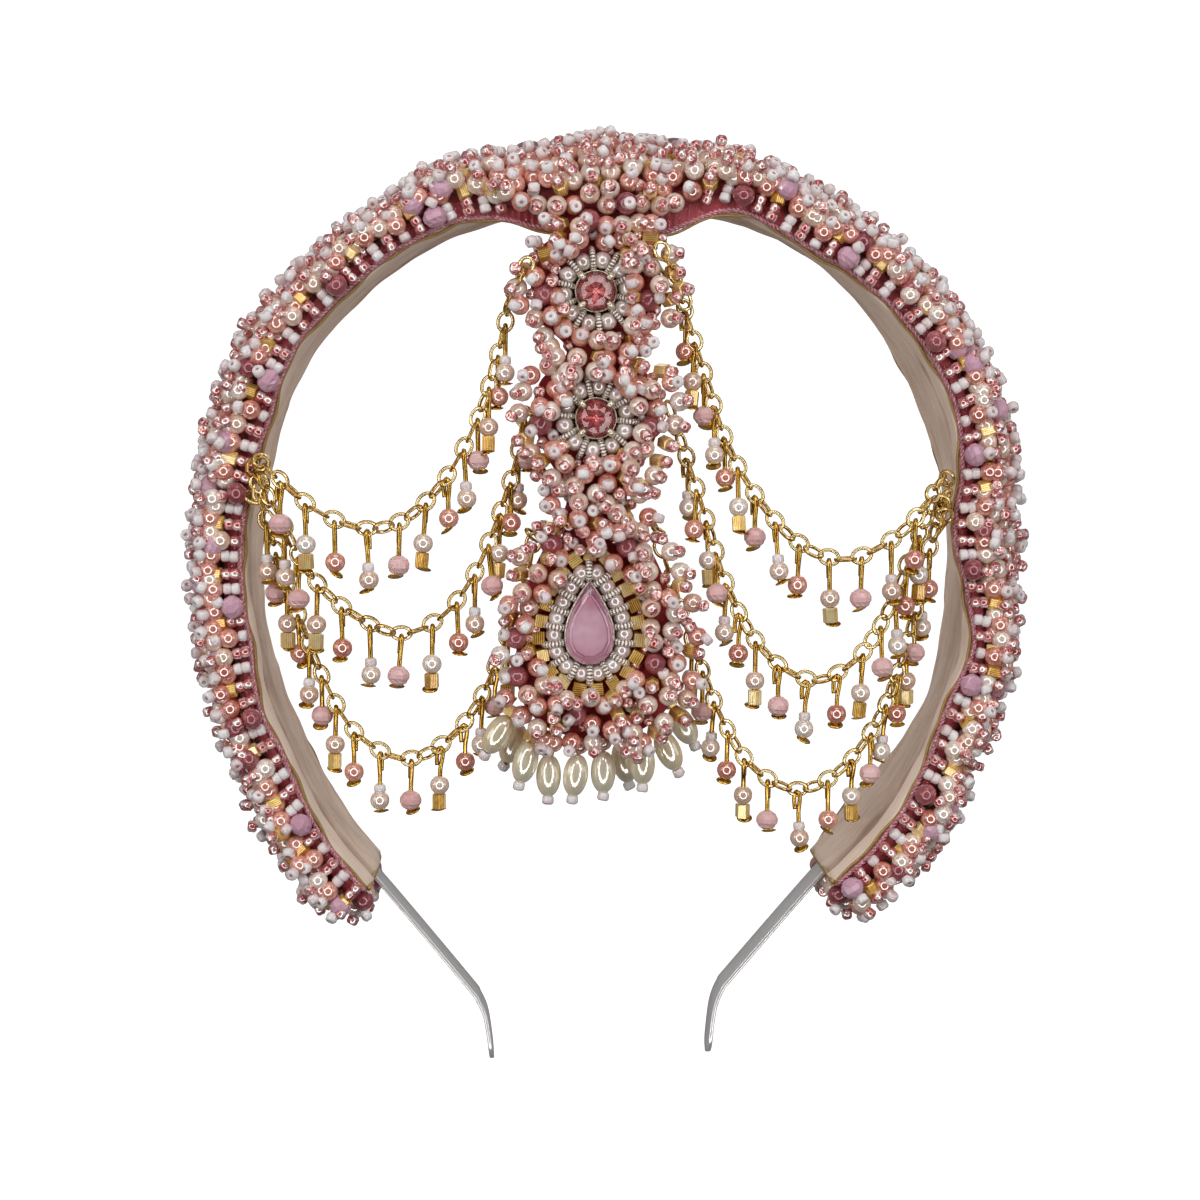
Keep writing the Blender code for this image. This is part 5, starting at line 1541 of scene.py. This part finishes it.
def build_felt():
    """Stiff felt with rounded edges; its rows run across the pendant."""
    fine, length = smooth_through([(h, z) for z, h in FELT], 110)
    cols = np.linspace(-1, 1, 41)
    edge = 1 - np.abs(cols) ** 14
    z_in = np.clip(np.minimum(np.arange(110), np.arange(110)[::-1]) / 2.0, 0, 1) ** 0.5
    n, m = 110, 41
    front, back = np.zeros((n, m, 3)), np.zeros((n, m, 3))
    for i in range(n):
        draw_in = 1.2 * np.clip((-fine[i, 1] - 5.0) / 3.0, 0, 1)
        x = PENDANT_X + (fine[i, 0] - draw_in) * cols
        z = np.full(m, fine[i, 1])
        ripple = 0.07 * np.sin(x * 0.55 + z * 0.23) + 0.05 * np.sin(z * 0.41 - x * 0.2)
        thick = FELT_T / 2 * (0.45 + 0.55 * edge) * (0.5 + 0.5 * z_in[i])
        mid = FELT_FRONT_Y + FELT_T / 2 + 0.04
        front[i] = np.stack([x, mid - thick + ripple * 0.3, z], axis=1)
        back[i] = np.stack([x, mid + thick + ripple, z], axis=1)
    obj = grid_solid("pendant_felt", front, back, MATS["felt"])
    finish_piece(obj, "rose_felt", "pendant_backing")
    area = float(2 * np.sum((fine[:-1, 0] + fine[1:, 0]) / 2 * np.abs(np.diff(fine[:, 1])))) * 1e-6
    # thread: small stitches of the bead work, on the back, and a row of stitches round the edge
    thread = Batch("sewing_thread")
    rng = np.random.default_rng(3)
    outline = felt_outline(150, 2.3)
    p, out, total = even_steps(outline, 92)
    back_y = FELT_FRONT_Y + FELT_T + 0.10
    for k, ((x, z), (ox, oz)) in enumerate(zip(p, out)):
        t = np.linspace(-1, 1, 7)
        along = np.array([-oz, ox])
        xs = x + along[0] * t * 0.85
        zs = z + along[1] * t * 0.85
        ys = back_y + 0.02 + 0.10 * (1 - t**2)
        thread.add(tube(np.stack([xs, ys, zs], axis=1), 0.12, 5), np.eye(4))
    for _ in range(170):
        z = -8 - rng.random() * 80
        x = PENDANT_X + (rng.random() * 2 - 1) * max(1.0, float(half_width(z)) - 2.6)
        a = rng.normal() * 0.9
        size = 0.6 + 0.8 * rng.random()
        t = np.linspace(-1, 1, 6)
        thread.add(tube(np.stack([x + np.cos(a) * t * size, back_y + 0.02 + 0.08 * (1 - t**2), z + np.sin(a) * t * size], axis=1), 0.10, 5), np.eye(4))
    finish_piece(thread.build(MATS["yarn"]), "rose_felt")


def cut_stone(name, rings, crown_from, glass, foil, painted_shade_foil, replaces, slot):
    """Faceted stone from rings of (list of x, z, depth); faces after crown_from are the foiled back."""
    bm = bmesh.new()
    loops = [[bm.verts.new(Vector(p) * MM) for p in ring] for ring in rings]
    top = bm.faces.new(loops[0])
    top.material_index = 0
    for r, (a, b) in enumerate(zip(loops, loops[1:])):
        na, nb = len(a), len(b)
        foil_side = r >= crown_from
        if nb == 1:
            for k in range(na):
                f = bm.faces.new((a[k], a[(k + 1) % na], b[0]))
                # every second facet to the culet gets the painted shade foil
                f.material_index = 2 if painted_shade_foil and k % 2 else 1
            continue
        if na == nb:
            for k in range(na):
                k2 = (k + 1) % na
                f = bm.faces.new((a[k], a[k2], b[k2], b[k]))
                f.material_index = 1 if foil_side else 0
        elif nb == 2 * na:  # kite and star facets
            for k in range(na):
                k2 = (k + 1) % na
                f1 = bm.faces.new((a[k], b[(2 * k - 1) % nb], b[2 * k]))
                f2 = bm.faces.new((a[k], b[2 * k], b[(2 * k + 1) % nb]))
                f3 = bm.faces.new((a[k], b[(2 * k + 1) % nb], a[k2]))
                for f in (f1, f2, f3):
                    f.material_index = 1 if foil_side else 0
    bmesh.ops.recalc_face_normals(bm, faces=bm.faces)
    mesh = bpy.data.meshes.new(name)
    bm.to_mesh(mesh)
    bm.free()
    mesh.materials.append(MATS[glass])
    mesh.materials.append(MATS[foil])
    if painted_shade_foil:
        mesh.materials.append(MATS[painted_shade_foil])
    obj = bpy.data.objects.new(name, mesh)
    bpy.context.scene.collection.objects.link(obj)
    return finish_piece(obj, slot, *replaces)


def build_stones():
    base = FELT_FRONT_Y - 0.3
    for label, cx, cz in ROUND_STONES:
        turn = 0.2 if label == "upper" else 0.5

        def ring(r, depth, n, shift=0.0, cx=cx, cz=cz, turn=turn):
            return [(cx + r * math.cos(TAU * (k + shift) / n + turn), base - depth, cz + r * math.sin(TAU * (k + shift) / n + turn)) for k in range(n)]

        rings = [ring(1.5, 4.50, 8), ring(2.5, 4.12, 16, 0.0), ring(STONE_R, 3.45, 16, 0.0), ring(STONE_R, 3.22, 16, 0.0), [(cx, base - 1.25, cz)]]
        cut_stone("round_stone_cut_" + label, rings, 3, "rose_glass", "rose_foil", "rose_foil_painted_shade", ["round_stone_" + label], "rose_glass")
        # cup and prongs
        cup = Batch("prong_setting_" + label)
        profile = [(0.0, 0.72), (2.3, 0.78), (3.28, 2.50), (3.50, 2.50), (3.46, 0.25), (3.0, 0.0), (0.0, 0.0)]
        pts, faces, uvs, smooth = lathe([(r, z) for r, z in profile], 28)
        m = np.array([[1, 0, 0, cx], [0, 0, -1, base], [0, 1, 0, cz], [0, 0, 0, 1.0]])
        cup.add((pts, faces, uvs, smooth), m[None])
        for k in range(4):
            a = TAU * k / 4 + TAU / 8
            c, s = math.cos(a), math.sin(a)
            path, _ = smooth_through([(3.35, 0.4), (3.66, 1.6), (3.84, 2.9), (3.74, 3.8), (3.25, 4.30), (2.66, 4.34)], 12)
            pts3 = np.stack([cx + c * path[:, 0], base - path[:, 1], cz + s * path[:, 0]], axis=1)
            rad = np.interp(np.arange(12), [0, 6, 9, 11], [0.36, 0.44, 0.62, 0.40])
            cup.add(tube(pts3, rad, 8), np.eye(4))
        finish_piece(cup.build(MATS["setting"]), "brass_setting", "setting_" + label)

    # pear: wide table, narrow facets round it, foiled back
    def pear_ring(share, depth, count=15, point=1.0):
        t = TAU * (np.arange(count)) / count
        s = np.abs(np.sin(t / 2))
        x, z = PEAR_A * np.sin(t) * s, PEAR_B * np.cos(t)
        cz = -2.0
        return [(PEAR_X + xx * share, base - depth, PEAR_Z + cz + (zz - cz) * (share if k else share * point)) for k, (xx, zz) in enumerate(zip(x, z))]

    rings = [pear_ring(0.76, 4.25, point=0.95), pear_ring(0.90, 3.90), pear_ring(1.0, 3.1), pear_ring(1.0, 2.85), pear_ring(0.72, 1.75), [(PEAR_X, base - 1.45, PEAR_Z - 2.0)]]
    cut_stone("pear_stone_cut", rings, 3, "pink_glass", "pink_foil", None, ["pear_stone"], "pink_glass")
    cup = Batch("pear_cup")
    t = TAU * np.arange(64) / 64
    s = np.abs(np.sin(t / 2))
    x, z = PEAR_A * np.sin(t) * s, PEAR_B * np.cos(t)
    cup.add(tube(np.stack([PEAR_X + x * 0.97, np.full(64, base - 2.2), PEAR_Z + z * 0.97], axis=1), 0.30, 6, closed=True), np.eye(4))
    finish_piece(cup.build(MATS["setting"]), "brass_setting")

    # smoky cabochons among the beads on top
    for name, angle, y, radius, floor in CABOCHONS:
        pts, faces, uvs, smooth = lathe([(0.0, CABOCHON_H), (radius * 0.28, CABOCHON_H * 0.985), (radius * 0.54, CABOCHON_H * 0.92), (radius * 0.76, CABOCHON_H * 0.79), (radius * 0.92, CABOCHON_H * 0.58), (radius * 0.99, CABOCHON_H * 0.34), (radius, CABOCHON_H * 0.12), (radius * 0.94, 0.0), (0.0, 0.0)], 40)
        p = at(np.array(angle), np.array(y), floor + 1.3)
        up = np.array([math.sin(math.radians(angle)), 0, math.cos(math.radians(angle))])
        stone = Batch(name + "_glass")
        stone.add((pts, faces, uvs, smooth), frames(p, up))
        obj = stone.build(MATS["cabochon"])
        finish_piece(obj, "dark_rose_glass", name)
        cup = Batch(name + "_cup")
        cup.add(lathe([(radius + 0.05, 1.0), (radius + 0.28, 0.85), (radius + 0.22, -0.3), (0.0, -0.3), (0.0, -0.06), (radius + 0.05, -0.06)], 36, ring=True), frames(p, up))
        finish_piece(cup.build(MATS["setting"]), "brass_setting")


# ---- oval pearls ---------------------------------------------------------------------------------------


def build_ovals():
    profile = [(0.0, OVALS_H * 0.93), (0.26, OVALS_H * 0.95), (0.42, OVALS_H * 0.985)]
    for k in range(1, 15):
        t = math.radians(12) + (math.pi - math.radians(24)) * k / 15
        profile.append((OVALS_R * math.sin(t) ** 0.92, OVALS_H * math.cos(t)))
    profile += [(0.42, -OVALS_H * 0.985), (0.26, -OVALS_H * 0.95), (0.0, -OVALS_H * 0.93)]
    body = lathe(profile, 26)
    tips = Beads("pearl_tip")
    for i, (x, y, z, lean) in enumerate(OVALS, 1):
        a = math.radians(lean)
        up = np.array([math.sin(a), 0, math.cos(a)])
        c = np.array([x, y, z])
        b = Batch("oval_pearl_%02d_ivory" % i)
        b.add(body, frames(c, up, RNG.random() * TAU), 0.25 + 0.6 * RNG.random())
        finish_piece(b.build(MATS["ivory"]), "ivory_pearl", "oval_pearl_%02d" % i)
        tips.put("white", c - up * (OVALS_H + 0.55), tilt(up, 12)[0])
        kind = ("cube", "rose", "cube", "cube", "rose", "rose", "cube", "crystal", "cube", "gold")[i - 1]
        d = {"cube": 0.95, "rose": 1.5, "crystal": 0.8, "gold": 1.2}[kind]
        tips.put(kind, c + up * (OVALS_H + d), tilt(up, 8)[0], 0.9)
    tips.build({"white": "ivory_pearl", "gold": "gold_bead", "rose": "mixed_beads"}, [])


# ---- chains --------------------------------------------------------------------------------------------


def link_template():
    t = TAU * np.arange(16) / 16
    path = np.stack([LINK_A * np.cos(t), LINK_B * np.sin(t), np.zeros(16)], axis=1)
    return tube(path, LINK_WIRE, 7, closed=True)


def pin_path(bead_len, top_z=0.0):
    """Eye pin in its own frame, hanging along -Z: a long hairpin over the link and straight down to where its foot
    goes.
    """
    return smooth_through([(0, 0.62, -2.9), (0, 0.72, -1.6), (0, 0.60, -0.4), (0, 0.08, 0.25), (0, -0.42, -0.35), (0, -0.30, -1.8), (0, -0.05, -3.2), (0, 0, -4.6), (0, 0, -bead_len)], 30)[0]


FOOT = lathe([(0.0, 0.20), (0.8, 0.17), (1.22, 0.0), (0.8, -0.17), (0.0, -0.20)], 14)
# What hangs on each pin: beads as (kind, distance below the chain, scale), then the foot's distance.
DROP_BEADS = [
    ("rondelle", [("pink", 7.3, 1.0)], 9.1),
    ("pearl_tube", [("cream", 7.0, 0.98), ("gold", 9.85, 1.0)], 11.3),
    ("rose_pearl", [("rose", 7.1, 1.0)], 9.0),
    ("seed_pearl", [("white", 6.55, 0.98), ("cream", 8.65, 0.98)], 10.5),
]


def build_chains():
    link = link_template()
    rng = np.random.default_rng(17)
    for name, route in CHAINS.items():
        side = name.replace("chain_", "")
        links, pins = Batch("links_" + side), Batch("pins_" + side)
        hung = Beads("drops_" + side)
        fine, length = smooth_through(route, 600)
        run = np.linspace(0, length, 600)
        first_at, kind, last_at, lean_side = DROPS[name]
        where = lambda s: np.array([np.interp(s, run, fine[:, k]) for k in range(3)])
        pitch = DROP_PITCH / 2
        first = first_at - math.floor(first_at / DROP_PITCH) * DROP_PITCH
        places = np.arange(first - DROP_PITCH, length + 0.5, pitch)
        for k, s in enumerate(places):
            if s < -0.8 or s > length + 0.6:
                continue
            p = where(np.clip(s, 0, length))
            d = unit(where(min(s + 0.8, length)) - where(max(s - 0.8, 0)))
            facing = k % 2 == 0  # links that carry drops face forward
            ref = np.array([0, -1.0, 0])
            n = unit(ref - np.dot(ref, d) * d)
            b = np.cross(n, d)
            turn = (rng.normal() * 0.22) + (0.0 if facing else math.pi / 2 + rng.normal() * 0.1)
            if not facing:
                turn += 0.25
            nn = n * math.cos(turn) + b * math.sin(turn)
            bb = np.cross(nn, d)
            m = np.eye(4)
            m[:3, 0], m[:3, 1], m[:3, 2], m[:3, 3] = d, bb, nn, p
            links.add(link, m[None])
        s, count = first_at, 0
        while s <= last_at:
            p = where(s)
            ahead, behind = where(s + 1.0)[2], where(s - 1.0)[2]
            steep = abs(ahead - behind) / 2.0 > STEEP
            angle = math.radians(LEAN_ANGLE) * lean_side if steep and count % 2 else 0.0
            spin = rng.normal() * 0.25 + (0.9 if rng.random() < 0.18 else 0.0)
            sway = rng.normal() * 0.035
            m = np.array(Matrix.Translation(Vector(p - [0, 0, LINK_B * 0.55])) @ Matrix.Rotation(angle, 4, "X") @ Matrix.Rotation(sway, 4, "Y") @ Matrix.Rotation(spin, 4, "Z"))
            _, items, foot = DROP_BEADS[kind % 4]
            pins.add(tube(pin_path(foot - LINK_B * 0.55), 0.41, 8), m[None])
            for item, below, scale in items:
                local = np.array([0, 0, -(below - LINK_B * 0.55), 1.0])
                q = (m @ local)[:3]
                hung.put(item, q, m[:3, 2] + rng.normal(size=3) * 0.03, scale)
            turn = rng.random() * TAU
            fm = m @ np.array(Matrix.Translation((0.5 * math.cos(turn), 0.2 * math.sin(turn), -(foot - LINK_B * 0.55))) @ Matrix.Rotation(-spin, 4, "Z") @ Matrix.Rotation(rng.choice([-1, 1]) * (0.35 + 0.35 * rng.random()), 4, "X") @ Matrix.Rotation(rng.normal() * 0.22, 4, "Y") @ Matrix.Diagonal((1.12, 0.85, 1.0, 1.0)))
            pins.add(FOOT, fm[None])
            s += DROP_PITCH
            kind += 1
            count += 1
        finish_piece(links.build(MATS["chain"]), "gold_chain", name)
        finish_piece(pins.build(MATS["pin"]), "gold_chain")
        hung.build({"gold": "gold_bead"}, [])
    # bunched rings and pins where the chains are sewn on
    ring = Batch("anchor_rings")
    for sx, z0, z1 in ((-1, -43.4, -49.6), (1, -46.6, -53.2)):
        for k in range(9):
            f = k / 8
            p = np.array([sx * (58.9 - 1.8 * rng.random()), -15.7 - 1.3 * rng.random(), z0 + (z1 - z0) * f + rng.normal() * 0.3])
            if k % 3 == 2:
                d = unit(np.array([rng.normal() * 0.3 - 0.35 * sx, -0.2, -1.0]))
                ring.add(tube([p, p + d * 2.0, p + d * 4.0], 0.36, 7), np.eye(4))
            else:
                ring.add(link, frames(p, np.array([rng.normal() * 0.7, -1.0, rng.normal() * 0.7]), rng.random() * TAU, 0.95 + 0.1 * rng.random()))
    for sx, x, zs in ((-1, -11.8, (-11.4, -35.2, -56.0)), (1, 9.8, (-11.0, -34.4, -55.4))):
        for z in zs:
            p = np.array([x + rng.normal() * 0.2, -13.6, z + 0.2])
            ring.add(link, frames(p, rng.normal(size=3), rng.random() * TAU, 0.9))
    # the first links of the two top chains lie over the sides of the upper lobe
    for side in (((-12.9, -10.9), (-14.0, -12.6), (-14.9, -14.6), (-15.7, -16.7)), ((9.6, -8.3), (10.8, -9.9), (11.9, -11.9), (12.8, -14.1), (13.6, -16.3))):
        way = np.array([(x, -19.6 + 0.9 * k, z) for k, (x, z) in enumerate(side)])
        run = unit(np.gradient(way, axis=0))
        for k, (p, d) in enumerate(zip(way, run)):
            turn = 0.25 * rng.normal() + (0.0 if k % 2 == 0 else 1.25)
            n = unit(np.array([0, -1.0, 0]) - np.dot([0, -1.0, 0], d) * d)
            b = np.cross(n, d)
            m = np.eye(4)
            nn = n * math.cos(turn) + b * math.sin(turn)
            m[:3, 0], m[:3, 1], m[:3, 2], m[:3, 3] = d, np.cross(nn, d), nn, p
            ring.add(link, m[None])
    finish_piece(ring.build(MATS["chain"]), "gold_chain")


# ---- floor, light --------------------------------------------------------------------------------------


def build_stage():
    floor = bpy.data.meshes.new("floor")
    floor.from_pydata([(-4, -4, -0.215), (4, -4, -0.215), (4, 4, -0.215), (-4, 4, -0.215)], [], [(0, 1, 2, 3)])
    obj = bpy.data.objects.new("floor", floor)
    bpy.context.scene.collection.objects.link(obj)
    m = Mat("pale_floor", Base_Color=(0.30, 0.30, 0.30), Roughness=0.9, Specular_IOR_Level=0.1, Emission_Color=(1.0, 1.0, 1.0), Emission_Strength=1.32)
    floor.materials.append(m.mat)
    obj.visible_diffuse = obj.visible_glossy = obj.visible_transmission = False

    world = bpy.data.worlds.new("studio")
    bpy.context.scene.world = world
    world.use_nodes = True
    nodes, links = world.node_tree.nodes, world.node_tree.links
    back = nodes["Background"]
    coord = nodes.new("ShaderNodeTexCoord")
    split = nodes.new("ShaderNodeSeparateXYZ")
    links.new(coord.outputs["Generated"], split.inputs[0])
    ramp = nodes.new("ShaderNodeValToRGB")
    e = ramp.color_ramp.elements
    e[0].position, e[0].color = 0.25, (0.165, 0.155, 0.155, 1)
    e[1].position, e[1].color = 0.62, (0.58, 0.58, 0.60, 1)
    half = nodes.new("ShaderNodeMath")
    half.operation = "MULTIPLY_ADD"
    half.inputs[1].default_value = 0.5
    half.inputs[2].default_value = 0.5
    links.new(split.outputs["Y"], half.inputs[0])
    links.new(half.outputs[0], ramp.inputs["Fac"])
    sky = nodes.new("ShaderNodeBackground")
    sky.inputs["Color"].default_value = (1, 1, 1, 1)
    sky.inputs["Strength"].default_value = 1.45
    links.new(ramp.outputs["Color"], back.inputs["Color"])
    back.inputs["Strength"].default_value = 0.44
    path = nodes.new("ShaderNodeLightPath")
    mix = nodes.new("ShaderNodeMixShader")
    out = nodes["World Output"]
    links.new(path.outputs["Is Camera Ray"], mix.inputs[0])
    links.new(back.outputs[0], mix.inputs[1])
    links.new(sky.outputs[0], mix.inputs[2])
    links.new(mix.outputs[0], out.inputs["Surface"])

    def area(name, where, aim, size, power, shape="DISK", colour=(1.0, 0.98, 0.985)):
        light = bpy.data.lights.new(name, "AREA")
        light.shape = shape
        light.size = size
        if shape in ("RECTANGLE", "ELLIPSE"):
            light.size_y = size * 0.5
        light.energy = power
        light.color = colour
        lamp = bpy.data.objects.new(name, light)
        bpy.context.scene.collection.objects.link(lamp)
        lamp.location = where
        lamp.rotation_euler = (Vector(aim) - Vector(where)).to_track_quat("-Z", "Y").to_euler()
        lamp.visible_camera = False
        return lamp

    # ring light round the camera, and soft boxes above and at the sides
    centre = Vector((0.0, 0.0, -0.065))
    for k in range(16):
        a = TAU * k / 16
        where = (camera.location.x + 0.32 * math.cos(a), -0.37, camera.location.z + 0.32 * math.sin(a))
        area("ring_%02d" % k, where, centre, 0.115, 0.190)
    area("top_box", (0.05, -0.15, 0.55), centre, 0.45, 0.7)
    area("left_box", (-0.6, -0.25, 0.10), centre, 0.4, 0.55)
    area("right_box", (0.6, -0.2, 0.05), centre, 0.4, 0.40)
    area("back_box", (0.1, 0.6, 0.25), centre, 0.5, 0.9)
    scene = bpy.context.scene
    scene.view_settings.view_transform = "Standard"
    scene.view_settings.look = "None"
    scene.view_settings.exposure = -0.27


# ---- make everything -----------------------------------------------------------------------------------
m = Mat("smoky_cabochon", Roughness=0.07, Coat_Weight=0.8, Coat_Roughness=0.03, Metallic=0.35)
_o = m.coords("Object")
m.colour(m.ramp(m.noise(_o, 220.0, 3.0, 0.6, 0.8), [(0.3, (0.20, 0.09, 0.11)), (0.6, (0.42, 0.22, 0.26)), (0.85, (0.60, 0.36, 0.41))]))
MATS["cabochon"] = m.mat

build_steel()
build_pad()
build_lining()
build_trim()
build_gusset()
band_beads()
build_felt()
build_pendant()
build_stones()
build_ovals()
build_chains()
build_stage()
